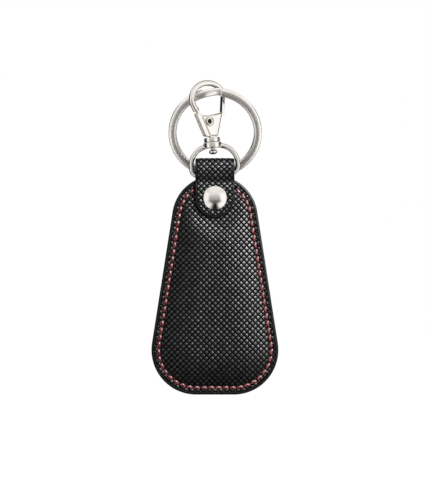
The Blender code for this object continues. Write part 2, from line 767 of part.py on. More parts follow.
def make_rivet_hole(frame):
    reach = STRAP_OUTER + OVERRUN
    radius = RIVET_SHANK_DIAMETER / 2 + GAP
    hole = add("rivet_hole", along_y(cylinder(radius, -reach, reach)), frame)
    hole.location = (0, 0, RIVET_DROP)
    return hole


def make_rivet(frame, look):
    """A domed cap in front, pressed on the post of a flatter cap behind."""
    rim, radius = RIVET_CAP_RIM, RIVET_CAP_DIAMETER / 2
    profile = []
    for angle in np.linspace(pi / 2, 0, CAP_STEPS):
        height = RIVET_SEAT + rim + RIVET_CAP_DOME * sin(angle)
        profile.append((radius * cos(angle), height))
    socket = RIVET_SHANK_DIAMETER / 2 + GAP
    bottom = RIVET_SEAT + RIVET_SOCKET_DEPTH
    profile += [(radius, RIVET_SEAT), (socket, RIVET_SEAT), (socket, bottom), (0, bottom)]
    cap = add("rivet_cap", along_y(turned(profile, ROUND_SEGMENTS)), frame, look)
    cap.location = (0, 0, RIVET_DROP)
    shank, radius = RIVET_SHANK_DIAMETER / 2, RIVET_BACK_DIAMETER / 2
    profile = [(0, bottom - GAP), (shank, bottom - GAP), (shank, -RIVET_SEAT)]
    profile.append((radius, -RIVET_SEAT))
    for angle in np.linspace(0, pi / 2, BACK_CAP_STEPS):
        height = -RIVET_SEAT - rim - RIVET_BACK_DOME * sin(angle)
        profile.append((radius * cos(angle), height))
    post = add("rivet_post", along_y(turned(profile, ROUND_SEGMENTS)), frame, look)
    post.location = (0, 0, RIVET_DROP)


def build():
    steel = make_material("nickel plate", (0.74, 0.72, 0.69), 0.24, 1.0)
    spring_steel = make_material("spring steel", (0.45, 0.45, 0.46), 0.35, 1.0)
    leather = make_material("black leather", (0.012, 0.012, 0.013), 0.42, 0.0)
    thread = make_material("red thread", (0.36, 0.012, 0.02), 0.6, 0.0)
    board = make_material("fibre board", (0.03, 0.025, 0.02), 0.8, 0.0)
    foam = make_material("grey foam", (0.2, 0.2, 0.2), 0.9, 0.0)

    lean = Matrix.Rotation(-HARDWARE_LEAN, 3, "Y")
    turn = Matrix.Rotation(CLASP_TURN, 3, "Z")
    crown = Vector((BOW_ACROSS, 0, BOW_HEIGHT + BOW_RISE - ROD_RADIUS))
    place = -(lean @ turn @ crown)

    hardware = make_empty("hardware_axis", None, place, (0, -HARDWARE_LEAN, 0))
    clasp = make_empty("clasp_frame", hardware, turn=(0, 0, CLASP_TURN))
    pivot = make_empty("gate_pivot", clasp, (PIVOT_ACROSS, 0, 0))
    loop = make_empty("swivel_frame", hardware)
    bar = place + lean @ Vector((0, 0, BAR_HEIGHT))
    fob = make_empty("fob_frame", None, bar + Vector((STRAP_ACROSS, 0, 0)))
    ring_top = (RING_ACROSS, -RING_FORWARD, -RING_DROP)
    ring = make_empty("ring_pivot", None, ring_top, (pi / 2 + RING_TILT, 0, 0))

    make_hook(clasp, steel)
    make_swivel_post(clasp, steel)
    make_gate(pivot, steel)
    make_pivot_rivet(pivot, steel)
    make_gate_spring(clasp, spring_steel)
    make_swivel_loop(loop, steel)
    make_key_ring(ring, steel)

    RIVET_HOLE.append(make_rivet_hole(fob))
    make_strap(fob, leather)
    make_board(fob, board)
    for name, side, height in (("front", 1, FRONT_CROWN), ("back", -1, BACK_CROWN)):
        make_panel(f"{name}_panel", -side, height, fob, leather)
        make_padding(f"{name}_padding", -side, height, fob, foam)
        make_stitching(f"{name}_stitching", -side, fob, thread)
    make_rivet(fob, steel)


RIVET_HOLE = []

for old in list(bpy.data.objects):
    bpy.data.objects.remove(old)
PARTS = make_collection("leather_keychain")
CUTTERS = make_collection("cutters")
build()
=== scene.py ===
# %% [markdown]
# # A leather key fob on a swivel clasp
#
# The real object is a padded leather fob, held by a folded strap to a swivel
# trigger clasp, with a split key ring through the clasp's hook. This lesson
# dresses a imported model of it: every piece is made where that model says it is.
# Sizes below are in millimetres, because the pieces are small, and each mesh is
# scaled to metres when it is finished.

import json
from math import asin, atan2, cos, hypot, pi, radians, sin, sqrt, tan

import bmesh
import bpy
import numpy as np
from bmesh.types import BMEdge, BMFace, BMVert
from mathutils import Matrix, Vector

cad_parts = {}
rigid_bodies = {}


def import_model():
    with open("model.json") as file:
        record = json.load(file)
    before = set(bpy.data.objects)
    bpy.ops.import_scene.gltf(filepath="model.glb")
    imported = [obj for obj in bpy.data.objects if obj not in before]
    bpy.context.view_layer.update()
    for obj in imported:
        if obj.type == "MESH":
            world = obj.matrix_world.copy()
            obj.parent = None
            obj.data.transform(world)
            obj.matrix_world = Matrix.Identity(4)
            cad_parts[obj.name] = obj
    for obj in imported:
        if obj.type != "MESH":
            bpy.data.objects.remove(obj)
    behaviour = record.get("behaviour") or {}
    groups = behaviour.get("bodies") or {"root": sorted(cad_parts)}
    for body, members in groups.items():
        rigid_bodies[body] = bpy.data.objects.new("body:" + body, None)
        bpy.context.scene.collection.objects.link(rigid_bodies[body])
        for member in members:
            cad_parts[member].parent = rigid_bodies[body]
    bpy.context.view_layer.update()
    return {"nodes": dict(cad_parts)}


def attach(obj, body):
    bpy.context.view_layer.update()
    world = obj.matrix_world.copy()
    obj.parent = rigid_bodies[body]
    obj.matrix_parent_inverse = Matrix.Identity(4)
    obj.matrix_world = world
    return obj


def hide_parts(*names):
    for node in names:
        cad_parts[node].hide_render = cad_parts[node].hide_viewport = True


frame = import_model()
MM = 0.001
print("nodes:", ", ".join(sorted(frame["nodes"])))

# %% [markdown]
# ## Camera
#
# The photograph looks straight at the fob's front with a long lens, so that the
# shape isn't stretched. One pixel of it covers 0.32 mm at the fob. A camera's
# sensor width belongs to the longer side of the picture, here its height.

# %% Camera
PIXEL, PHOTO_HEIGHT = 0.32, 491
LENS, SENSOR = 150, 36
VIEW_CENTRE = (2.61, -51.05)


def show(thing):
    """A new object is in the scene once a collection holds it."""
    bpy.context.scene.collection.objects.link(thing)
    return thing


def add_camera():
    data = bpy.data.cameras.new("camera")
    data.lens, data.sensor_width = LENS, SENSOR
    data.clip_start, data.clip_end = 0.01, 20
    camera = show(bpy.data.objects.new("camera", data))
    distance = PHOTO_HEIGHT * PIXEL * LENS / SENSOR
    across, up = VIEW_CENTRE
    camera.location = (across * MM, -distance * MM, up * MM)
    camera.rotation_euler = (radians(90), 0, 0)
    bpy.context.scene.camera = camera
    print(f"camera stands {distance:.0f} mm in front")


add_camera()

# %% [markdown]
# ## Shader maths
#
# A finish is a small program on the surface. One class wraps a socket, so that
# an expression such as `1 - groove * 0.5` adds its own Math nodes, and one
# method makes any other node.


# %% Sockets that take part in expressions
class Level:
    """A number that changes over the surface."""

    def __init__(self, finish, socket):
        self.finish, self.socket = finish, socket

    def _maths(self, operation, first, second):
        settings = {"operation": operation}
        return self.finish.node("ShaderNodeMath", settings, {0: first, 1: second})

    def __add__(self, other):
        return self._maths("ADD", self, other)

    def __sub__(self, other):
        return self._maths("SUBTRACT", self, other)

    def __rsub__(self, other):
        return self._maths("SUBTRACT", other, self)

    def __mul__(self, other):
        return self._maths("MULTIPLY", self, other)

    __radd__, __rmul__ = __add__, __mul__

    def top(self, other):
        """The larger of two levels."""
        return self._maths("MAXIMUM", self, other)


# %% A finish and its nodes
class Finish:
    """A material or a world, with one way to add a node."""

    def __init__(self, owner, shader="Principled BSDF"):
        self.owner = owner
        owner.use_nodes = True
        self.tree = owner.node_tree
        self.shader = self.tree.nodes[shader]

    def node(self, kind, settings=None, inputs=None, output=0):
        """A node by its type, its settings, and the values or links of its sockets."""
        node = self.tree.nodes.new(kind)
        for key, value in (settings or {}).items():
            setattr(node, key, value)
        for key, value in (inputs or {}).items():
            self.feed(node.inputs[key], value)
        return Level(self, node.outputs[output])

    def feed(self, socket, value):
        if isinstance(value, Level):
            self.tree.links.new(value.socket, socket)
        else:
            socket.default_value = value

    def dress(self, **inputs):
        """Feeds the shader's own sockets, named with _ for a space."""
        for name, value in inputs.items():
            self.feed(self.shader.inputs[name.replace("_", " ")], value)

    def mix(self, share, first, second):
        """A colour between two: a Mix node's colours are sockets 6 and 7, and output 2."""
        inputs = {0: share, 6: first, 7: second}
        return self.node("ShaderNodeMix", {"data_type": "RGBA"}, inputs, 2)

    def place(self):
        return self.node("ShaderNodeTexCoord", output="Object")

    def stretched(self, scale):
        """The surface's place in mm, stretched along each axis."""
        scaled = tuple(s / MM for s in scale)
        settings = {"operation": "MULTIPLY"}
        return self.node("ShaderNodeVectorMath", settings, {0: self.place(), 1: scaled})

    def noise(self, size, detail, stretch=(1, 1, 1)):
        """Noise whose features are about size mm across."""
        inputs = {"Vector": self.stretched(stretch), "Scale": 1 / size, "Detail": detail}
        return self.node("ShaderNodeTexNoise", None, inputs)

    def pits(self, size):
        """Distance to the nearest cell centre, for pebbled grain."""
        inputs = {"Vector": self.stretched((1, 1, 1)), "Scale": 1 / size}
        return self.node("ShaderNodeTexVoronoi", {"feature": "F1"}, inputs)

    def attribute(self, name):
        return self.node("ShaderNodeAttribute", {"attribute_name": name}, output="Fac")

    def bump(self, height, depth, strength):
        """A normal for a height from 0 to 1 that stands for depth mm."""
        inputs = {"Strength": strength, "Distance": depth * MM, "Height": height}
        return self.node("ShaderNodeBump", None, inputs)


def new_finish(name, colour, roughness, metallic=0.0, **constants):
    """A Principled material, with constants set on the shader's own sockets."""
    finish = Finish(bpy.data.materials.new(name))
    finish.dress(Base_Color=(*colour, 1), Roughness=roughness, Metallic=metallic, **constants)
    return finish


# %% [markdown]
# ## Black embossed leather
#
# The leather is dyed black and pressed with a diagonal lattice of small
# diamonds. Only their tops catch the light. The diamonds are real geometry,
# which stores how high each point stands in an attribute called relief. The
# finish reads it: the grooves are deep black, partly from the dye and partly
# from painted shade, and only the tops get a gloss coat. It adds what is too
# fine to model: a pebbled grain and small changes of gloss.


# %% Leather
def leather():
    """The gloss is a coat that only the tops have, so the grooves stay black."""
    constants = {"Specular_IOR_Level": 0.02, "Coat_Roughness": 0.42, "Coat_IOR": 1.45}
    finish = new_finish("embossed leather", (0.011, 0.011, 0.012), 0.5, **constants)
    relief = finish.attribute("relief")
    raised = relief * relief
    grain = finish.pits(0.16)
    cloud = finish.noise(2.6, 3)
    top = finish.mix(cloud, (0.004, 0.004, 0.005, 1), (0.002, 0.002, 0.003, 1))
    finish.dress(
        # Darker where the relief is low: partly the dye, partly painted shade in the grooves
        # and pits.
        Base_Color=finish.mix(relief, (0.0008, 0.0008, 0.0009, 1), top),
        Roughness=0.75 - relief * 0.30 + (cloud - 0.5) * 0.12 + (grain - 0.4) * 0.10,
        Coat_Weight=raised * raised * (0.8 + cloud * 0.3),
        Normal=finish.bump(grain, 0.02, 0.3),
    )
    return finish.owner


# %% [markdown]
# ## Painted edges
#
# A cut edge shows the leather's fibres, so the maker paints it black and rubs it
# smooth. The paint is glossier than the leather and has no lattice.


# %% Edge paint
def edge_paint():
    finish = new_finish("edge paint", (0.007, 0.006, 0.007), 0.45, Specular_IOR_Level=0.10)
    ripple = finish.noise(0.9, 2)
    finish.dress(Roughness=0.45 + (ripple - 0.5) * 0.25, Normal=finish.bump(ripple, 0.06, 0.5))
    return finish.owner


# %% [markdown]
# ## Red thread
#
# The seam is sewn with a waxed crimson thread of two twisted plies. The plies
# are geometry. The finish gives the fibres: fine streaks and a soft sheen. It
# also paints shade: a darker red where the plies meet and at each stitch's ends.


# %% Thread
def thread():
    sheen = {"Sheen_Weight": 0.15, "Sheen_Tint": (1, 0.72, 0.74, 1)}
    constants = {"Specular_IOR_Level": 0.35, **sheen}
    finish = new_finish("red thread", (0.20, 0.004, 0.012), 0.4, **constants)
    ply = finish.attribute("relief")
    fibre = finish.noise(0.09, 3)
    light = finish.mix(fibre, (0.30, 0.006, 0.020, 1), (0.66, 0.12, 0.13, 1))
    finish.dress(
        # Painted shade: the red darkens between the plies and at the stitch ends.
        Base_Color=finish.mix(ply * ply, (0.035, 0.0003, 0.002, 1), light),
        Roughness=0.55 - ply * 0.20,
        Normal=finish.bump(fibre, 0.03, 0.7),
    )
    return finish.owner


# %% [markdown]
# ## Nickel plate
#
# The clasp, the ring and the rivets are nickel plated and tumbled, so they are
# bright with a soft edge to each reflection. Nickel is slightly warm. Handling
# leaves fine marks, which show as changes of gloss more than of shape.


# %% Nickel
NICKEL_SHADES = ((0.69, 0.655, 0.61), (0.77, 0.74, 0.70))


def nickel(name, roughness, tone=1.0):
    finish = new_finish(name, (0.74, 0.71, 0.67), roughness, 1.0)
    cloud = finish.noise(3.0, 3)
    marks = finish.noise(0.12, 2, (1, 1, 0.15))
    shades = [(*(tone * c for c in shade), 1) for shade in NICKEL_SHADES]
    finish.dress(
        Base_Color=finish.mix(cloud, *shades),
        Roughness=roughness + (cloud - 0.5) * 0.08 + (marks - 0.5) * 0.10,
        Normal=finish.bump(marks, 0.006, 0.5),
    )
    return finish.owner


# %% [markdown]
# ## Spring steel and fibre board
#
# Both are inside and hardly show, so a few nodes are enough. The leaf spring
# keeps the long grain of rolled strip, and the stiffener board shows its pressed
# fibres: each is noise, stretched along one axis.


# %% Hidden finishes
def spring_steel():
    finish = new_finish("spring steel", (0.42, 0.42, 0.44), 0.4, 1.0)
    grain = finish.noise(0.1, 2, (1, 1, 0.1))
    finish.dress(Roughness=0.3 + grain * 0.25)
    return finish.owner


def fibre_board():
    finish = new_finish("fibre board", (0.012, 0.011, 0.011), 0.7)
    fibre = finish.noise(0.25, 4, (1, 4, 1))
    colour = finish.mix(fibre, (0.006, 0.006, 0.006, 1), (0.022, 0.020, 0.019, 1))
    finish.dress(Base_Color=colour, Normal=finish.bump(fibre, 0.05, 0.6))
    return finish.owner


LEATHER, EDGE, THREAD = leather(), edge_paint(), thread()
SATIN, BRIGHT = nickel("satin nickel", 0.14), nickel("bright nickel", 0.12)
# The ring's nickel is a lighter copy of the same nickel, its colour raised 1.28 times: painted
# light.
BRUSHED = nickel("brushed nickel", 0.34, 1.28)
SPRING, BOARD = spring_steel(), fibre_board()
print("finishes:", ", ".join(m.name for m in bpy.data.materials))

# %% [markdown]
# ## Where things stand
#
# The clasp hangs with a small lean to the left and is turned on its swivel, so
# its pieces are easiest to make in the clasp's own frame: X across the hook, Z
# along it, the gate's pivot at height 0. The fob's own frame has its origin in
# the middle of the loop's bar.

# %% Frames
LEAN, TURN, RING_TILT = radians(6.0), radians(29.0), radians(22.5)
BOW = {"across": 0.2, "height": 7.0, "width": 6.0, "rise": 5.4, "rod": 0.95}
PIVOT = -0.83
BAR_HEIGHT, FOB_SHIFT = -16.81, -0.2
RING_TOP = (2.67, -0.80, -2.0)

lean = Matrix.Rotation(-LEAN, 4, "Y")
turn = Matrix.Rotation(TURN, 4, "Z")
crown_point = Vector((BOW["across"], 0, BOW["height"] + BOW["rise"] - BOW["rod"]))
hang = Matrix.Translation(-((lean @ turn) @ crown_point))
CLASP = hang @ lean @ turn
LOOP = hang @ lean
bar = LOOP @ Vector((0, 0, BAR_HEIGHT))
FOB = Matrix.Translation(bar + Vector((FOB_SHIFT, 0, 0)))
RING = Matrix.Translation(RING_TOP) @ Matrix.Rotation(pi / 2 + RING_TILT, 4, "X")
FACING = {"front": Matrix.Identity(4), "back": Matrix.Rotation(pi, 4, "Z")}
print("the loop's bar is at", [round(c, 2) for c in bar])

# %% [markdown]
# ## Making and placing a mesh
#
# Every helper works in millimetres. `place` puts a mesh in its frame, scales it
# to metres, gives it its finishes, joins it to its body and hides the imported
# pieces it replaces.


# %% Making
def mesh_of(bm, name="shape"):
    bmesh.ops.recalc_face_normals(bm, faces=bm.faces)
    mesh = bpy.data.meshes.new(name)
    bm.to_mesh(mesh)
    bm.free()
    return mesh


def only(kind, geometry):
    return [thing for thing in geometry if isinstance(thing, kind)]


def spots(verts):
    """The points' x, y and z, an array each."""
    return np.array([v.co for v in verts]).T


def loft(bm, loops, closed=False):
    """Faces from loop to loop of points, with flat ends unless it is closed."""
    pairs = list(zip(loops, loops[1:])) + ([(loops[-1], loops[0])] if closed else [])
    for low, high in pairs:
        for k in range(len(low)):
            j = (k + 1) % len(low)
            bm.faces.new((low[k], low[j], high[j], high[k]))
    if not closed:
        bm.faces.new(loops[0][::-1])
        bm.faces.new(loops[-1])


def applied(mesh, *modifiers):
    """The mesh after modifiers, each (type, settings)."""
    obj = show(bpy.data.objects.new("workpiece", mesh))
    for kind, settings in modifiers:
        modifier = obj.modifiers.new(kind.lower(), kind)
        for key, value in settings.items():
            setattr(modifier, key, value)
    graph = bpy.context.evaluated_depsgraph_get()
    made = bpy.data.meshes.new_from_object(obj.evaluated_get(graph))
    bpy.data.objects.remove(obj)
    return made


# %% Placing
def place(name, mesh, matrix, finishes, body, slot, *nodes, sharp=None):
    mesh.transform(Matrix.Scale(MM, 4) @ matrix)
    for finish in finishes:
        mesh.materials.append(finish)
    mesh.shade_smooth()
    if sharp:
        mesh.set_sharp_from_angle(angle=radians(sharp))
    piece = show(bpy.data.objects.new(name, mesh))
    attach(piece, body)
    if nodes:
        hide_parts(*nodes)
    print(f"{name}: {len(mesh.polygons)} faces")
    return piece


# %% [markdown]
# ## The fob's outline
#
# The fob is cut like a drop: a round head and two round bottom corners, joined
# by straight sides. Everything on it follows that outline at some distance
# inside it, so one function gives a point's distance from the edge, and one
# gives the outline itself, moved inwards.

# %% Outline
HEAD_Z, HEAD_R, HEAD_FLAT = -14.2, 13.7, -1.7
CORNER_X, CORNER_Z, CORNER_R = 6.0, -56.3, 14.3
SIDE_RUN = HEAD_Z - CORNER_Z
SIDE_LEAN = atan2(CORNER_X, SIDE_RUN) + asin((CORNER_R - HEAD_R) / hypot(CORNER_X, SIDE_RUN))


def inside(x, z, flat=True):
    """Distance from the outline, with or without the head's flat top."""
    x = np.abs(x)
    c, s = cos(SIDE_LEAN), sin(SIDE_LEAN)
    away = np.minimum(HEAD_R - (x * c + (z - HEAD_Z) * s), z - CORNER_Z + CORNER_R)
    in_head = x * s - (z - HEAD_Z) * c < 0
    away = np.where(in_head, HEAD_R - np.hypot(x, z - HEAD_Z), away)
    dx, dz = x - CORNER_X, z - CORNER_Z
    in_corner = (dx * s - dz * c > 0) & (dx > 0)
    away = np.where(in_corner, CORNER_R - np.hypot(dx, dz), away)
    return np.minimum(away, HEAD_FLAT - z) if flat else away


def arc(centre, radius, start, end, count):
    angles = np.linspace(start, end, count + 1)
    return [(centre[0] + radius * cos(a), centre[1] + radius * sin(a)) for a in angles]


def outline(inset):
    head, corner = HEAD_R - inset, CORNER_R - inset
    points = arc((0, HEAD_Z), head, SIDE_LEAN, pi - SIDE_LEAN, 64)
    points += arc((-CORNER_X, CORNER_Z), corner, pi - SIDE_LEAN, 1.5 * pi, 32)
    points += arc((CORNER_X, CORNER_Z), corner, 1.5 * pi, 2 * pi + SIDE_LEAN, 32)
    flat = HEAD_FLAT - inset
    points = [(x, z) for x, z in points if z <= flat]
    reach = sqrt(head**2 - (flat - HEAD_Z) ** 2)
    first = [n for n, (x, z) in enumerate(points) if x < 0][0]
    return points[:first] + [(reach, flat), (-reach, flat)] + points[first:]


print("fob is", round(2 * (CORNER_X + CORNER_R), 1), "mm wide")

# %% [markdown]
# ## A sheet pressed with diamonds
#
# The lattice could be a bump texture, but its grooves show as real notches in
# the light, so it is geometry. A grid whose lines run along both diagonals fits
# it: a few lines a diamond, close together at the grooves. Whole squares are
# kept inside the outline, and only the border squares are cut along it, which
# keeps the mesh clean. The outline must be convex.

# %% Lattice
DIAGONAL = sqrt(0.5)
CELL = 1.84 * DIAGONAL
LINES = (0.0, 0.072, 0.19, 0.40, 0.60, 0.81, 0.928)
GROOVE_HALF, SHOULDER_WIDE, UNEVEN = 0.095, 0.15, 0.12


def edge_normals(points):
    """A convex outline's corners, and the direction out of each of its sides."""
    ring = np.array(points)
    along = np.roll(ring, -1, axis=0) - ring
    along /= np.linalg.norm(along, axis=1)[:, None]
    return ring, np.stack([along[:, 1], -along[:, 0]], axis=1)


def lattice(ring):
    """The grid's points in (x, z) over an outline, and its squares."""
    diagonal = np.array([ring @ (DIAGONAL, DIAGONAL), ring @ (DIAGONAL, -DIAGONAL)])
    cells = [(int(d.min() // CELL) - 1, int(d.max() // CELL) + 2) for d in diagonal]
    lines = [[(n + f) * CELL for n in range(*c) for f in LINES] for c in cells]
    a, b = np.meshgrid(*lines, indexing="ij")
    flat = np.stack([((a + b) * DIAGONAL).ravel(), ((a - b) * DIAGONAL).ravel()], axis=1)
    number = np.arange(len(flat)).reshape(a.shape)
    corners = [number[:-1, :-1], number[1:, :-1], number[1:, 1:], number[:-1, 1:]]
    return flat, np.stack([c.ravel() for c in corners], axis=1)


# %% A sheet of diamonds
def sheet_mesh(flat, faces):
    used, index = np.unique(faces, return_inverse=True)
    mesh = bpy.data.meshes.new("sheet")
    verts = [(x, 0, z) for x, z in flat[used]]
    mesh.from_pydata(verts, [], index.reshape(faces.shape).tolist())
    return mesh


def diamond_sheet(points):
    """A flat bmesh in X and Z, cut to a convex outline that runs counterclockwise."""
    ring, normals = edge_normals(points)
    flat, faces = lattice(ring)
    out = np.full(len(flat), -1e9)
    for corner, normal in zip(ring, normals):
        out = np.maximum(out, (flat - corner) @ normal)
    whole = faces[(out[faces] < 0).all(axis=1)]
    border = faces[(out[faces] >= 0).any(axis=1) & (out[faces].min(axis=1) < 0)]
    bm = bmesh.new()
    bm.from_mesh(sheet_mesh(flat, border))
    for (x, z), (nx, nz) in zip(ring, normals):
        cut = {"plane_co": (x, 0, z), "plane_no": (nx, 0, nz), "clear_outer": True}
        geometry = bm.verts[:] + bm.edges[:] + bm.faces[:]
        bmesh.ops.bisect_plane(bm, geom=geometry, dist=1e-5, **cut)
    bm.from_mesh(sheet_mesh(flat, whole))
    bmesh.ops.remove_doubles(bm, verts=bm.verts, dist=1e-4)
    return bm


def relief_at(x, z):
    """0 in a groove to 1 on a diamond's shoulder, and how high its round top is."""
    a, b = (x + z) * DIAGONAL / CELL, (x - z) * DIAGONAL / CELL
    fa, fb = a % 1, b % 1
    edge = CELL * np.minimum(np.minimum(fa, 1 - fa), np.minimum(fb, 1 - fb))
    share = np.clip((edge - GROOVE_HALF) / SHOULDER_WIDE, 0, 1)
    # The far digits of a large sine stand in for a random number per diamond.
    wander = np.sin(np.floor(a) * 12.9 + np.floor(b) * 78.2) * 43758.5
    return share * (1 - UNEVEN * (wander % 1)), np.sin(edge / CELL * pi)


# %% [markdown]
# ## The rim of a sheet
#
# A sheet's border is pulled outwards in a few steps to make its rounded,
# painted edge. Each step moves the newest ring of points away from the outline
# and down, and the last ring is filled to close the solid.


# %% Rim
def outward(points, x, z):
    """The unit direction out of a convex outline at points on or near it."""
    ring, normals = edge_normals(points)
    flat = np.stack([x, z], axis=1)
    scores = np.stack([(flat - c) @ n for c, n in zip(ring, normals)], axis=1)
    weights = np.exp((scores - scores.max(axis=1)[:, None]) / 0.02)
    away = weights @ normals
    return away / np.linalg.norm(away, axis=1)[:, None]


def pull_rim(bm, points, edges, steps):
    """Steps are (how far out, depth); returns the last ring's edges."""
    layer = bm.verts.layers.float["relief"]
    moved = 0.0
    for out, depth in steps:
        made = bmesh.ops.extrude_edge_only(bm, edges=edges)["geom"]
        verts = only(BMVert, made)
        edges = [edge for edge in only(BMEdge, made) if edge.is_boundary]
        for face in only(BMFace, made):
            face.material_index = 1
        x, _, z = spots(verts)
        for vert, (nx, nz) in zip(verts, outward(points, x, z)):
            vert.co.x += nx * (out - moved)
            vert.co.z += nz * (out - moved)
            vert.co.y, vert[layer] = depth, 1.0
        moved = out
    return edges


# %% [markdown]
# ## The two padded panels
#
# Each face of the fob is a leather panel over foam. It lies flat along the rim,
# where the seam holds it down, and rises to a crown in the middle. The seam pulls
# a shallow channel into it, with a small pit at each needle hole. Cloth
# simulation would blur the lattice, so the crown is worked out from the distance
# to the edge, the way a press shapes it.

# %% Seam line
RIM_FACE, PANEL_BACK = 1.35, 0.27
SEAM_INSET, STITCHES = 2.3, 68
STRAP_HALF = 6.25
SEAM_START = STRAP_HALF + 0.3


def seam_line():
    """Points along the seam, from one side of the strap round to the other."""
    ring = outline(SEAM_INSET)
    top = [n for n, (x, z) in enumerate(ring) if abs(x) < SEAM_START and z > HEAD_Z]
    ring = ring[top[-1] + 1 :] + ring[: top[0]]
    up = HEAD_Z + sqrt((HEAD_R - SEAM_INSET) ** 2 - SEAM_START**2)
    return np.array([(-SEAM_START, up), *ring, (SEAM_START, up)])


def run_of(line):
    """How far along a line of points each of them lies."""
    return np.concatenate([[0], np.cumsum(np.linalg.norm(np.diff(line, axis=0), axis=1))])


def along(line, distances, step=0.05):
    """Points and unit directions at distances along a line of points."""

    def spot(at):
        return np.stack([np.interp(at, run_of(line), line[:, k]) for k in (0, 1)], axis=-1)

    ahead = spot(distances + step) - spot(distances - step)
    return spot(distances), ahead / np.linalg.norm(ahead, axis=-1)[..., None]


SEAM = seam_line()
SEAM_LENGTH = run_of(SEAM)[-1]
PITCH = SEAM_LENGTH / STITCHES
HOLES = along(SEAM, np.arange(STITCHES + 1) * PITCH)[0]
print(f"seam: {SEAM_LENGTH:.0f} mm, {STITCHES} stitches of {PITCH:.2f} mm")

# %% Crown
CROWN_FOOT, CROWN_SHOULDER, CROWN_TOP = 3.0, 7.5, 13.4
SHOULDER_SHARE = 0.2
RIVET_Z = -7.74
TAB_CROWN, TAB_REACH = 0.22, 7.5


def crown_share(x, z):
    """Steep near the seam, gently rounded to the middle, pressed flat by the tab."""
    away = inside(x, z, flat=False)
    first = np.clip((away - CROWN_FOOT) / (CROWN_SHOULDER - CROWN_FOOT), 0, 1)
    second = np.clip((away - CROWN_FOOT) / (CROWN_TOP - CROWN_FOOT), 0, 1)
    rise = SHOULDER_SHARE * np.sin(first * pi / 2)
    rise += (1 - SHOULDER_SHARE) * np.sin(second * pi / 2)
    tab = np.hypot(x, np.minimum(z - RIVET_Z, 0)) - STRAP_HALF
    clear = np.clip(tab / TAB_REACH, 0, 1)
    return rise * (TAB_CROWN + (1 - TAB_CROWN) * clear * clear * (3 - 2 * clear))


# %% Panels
BAND, FADE = 0.75, 0.3
RELIEF, PILLOW = 0.13, 0.008
SEAM_DEPTH, SEAM_WIDE, SEAM_WORN = 0.22, 0.55, 0.35
PIT_DEPTH, PIT_WIDE, PIT_SHADE_AND_DULL = 0.25, 0.33, 0.8
EDGE_ROLL = ((0.06, -0.03), (0.30, -0.02), (0.55, 0.10), (0.70, 0.30), (BAND, 0.55))
BACK_ROUND = 0.12
FRONT_CROWN, BACK_CROWN = 2.1, 1.5


def nearest_hole(x, z):
    best = np.full(len(x), 1e9)
    for hx, hz in HOLES:
        best = np.minimum(best, np.hypot(x - hx, z - hz))
    return best


def panel_heights(x, z, crown):
    """The face's height and the relief, without the lattice where it is worn flat. At the
    needle pits the relief is lowered, which paints them darker as shade and makes them duller.
    """
    share, pillow = relief_at(x, z)
    away = inside(x, z)
    fade = np.clip((away - BAND) / FADE, 0, 1)
    seam = np.exp(-(((away - SEAM_INSET) / SEAM_WIDE) ** 2))
    pit = np.exp(-((nearest_hole(x, z) / PIT_WIDE) ** 2)) * (away < SEAM_INSET + 1)
    share = share * fade * (1 - SEAM_WORN * seam)
    height = RIM_FACE + crown * crown_share(x, z) - SEAM_DEPTH * seam - PIT_DEPTH * pit
    height += RELIEF * (share - 1) + PILLOW * pillow * fade
    # Lowering the relief at the pits paints painted shade into them and dulls their gloss.
    return height, np.clip(share * (1 - PIT_SHADE_AND_DULL * pit), 0, 1)


def make_panel(name, facing, crown, *nodes):
    points = outline(BAND)
    bm = diamond_sheet(points)
    layer = bm.verts.layers.float.new("relief")
    x, _, z = spots(bm.verts)
    for vert, y, relief in zip(bm.verts, *panel_heights(x, z, crown)):
        vert.co.y, vert[layer] = -y, relief
    low = RIM_FACE - RELIEF
    steps = [(out, down - low) for out, down in EDGE_ROLL]
    steps += [(BAND, -PANEL_BACK - BACK_ROUND), (BAND - BACK_ROUND, -PANEL_BACK)]
    last = pull_rim(bm, points, [e for e in bm.edges if e.is_boundary], steps)
    bmesh.ops.edgeloop_fill(bm, edges=last)
    at = FOB @ FACING[facing]
    piece = place(name, mesh_of(bm), at, [LEATHER, EDGE], "fob", "black_leather", *nodes)


make_panel("padded_front", "front", FRONT_CROWN, "front_panel", "front_padding")
make_panel("padded_back", "back", BACK_CROWN, "back_panel", "back_padding")

# %% [markdown]
# ## The stitches
#
# Each stitch comes out of one hole and goes down the next. It is a short tube of
# two twisted plies, flattened where it lies on the leather, and turned a little
# across the seam, as a saddle stitch is. A loft of rings gives that shape, which
# a bevelled curve can't.

# %% Stitches
THREAD_WIDE, THREAD_HIGH = 0.54, 0.40
PLY_TURNS, PLY_SHARE = 1.5, 0.20
STITCH_RINGS, STITCH_SIDES = 15, 12
STITCH_FROM, STITCH_TO, STITCH_SLANT = 0.04, 0.96, 0.22
STITCH_SUNK, STITCH_RISE, STITCH_ARCH = 0.42, 0.66, 0.55
STITCH_TAPER = 0.45


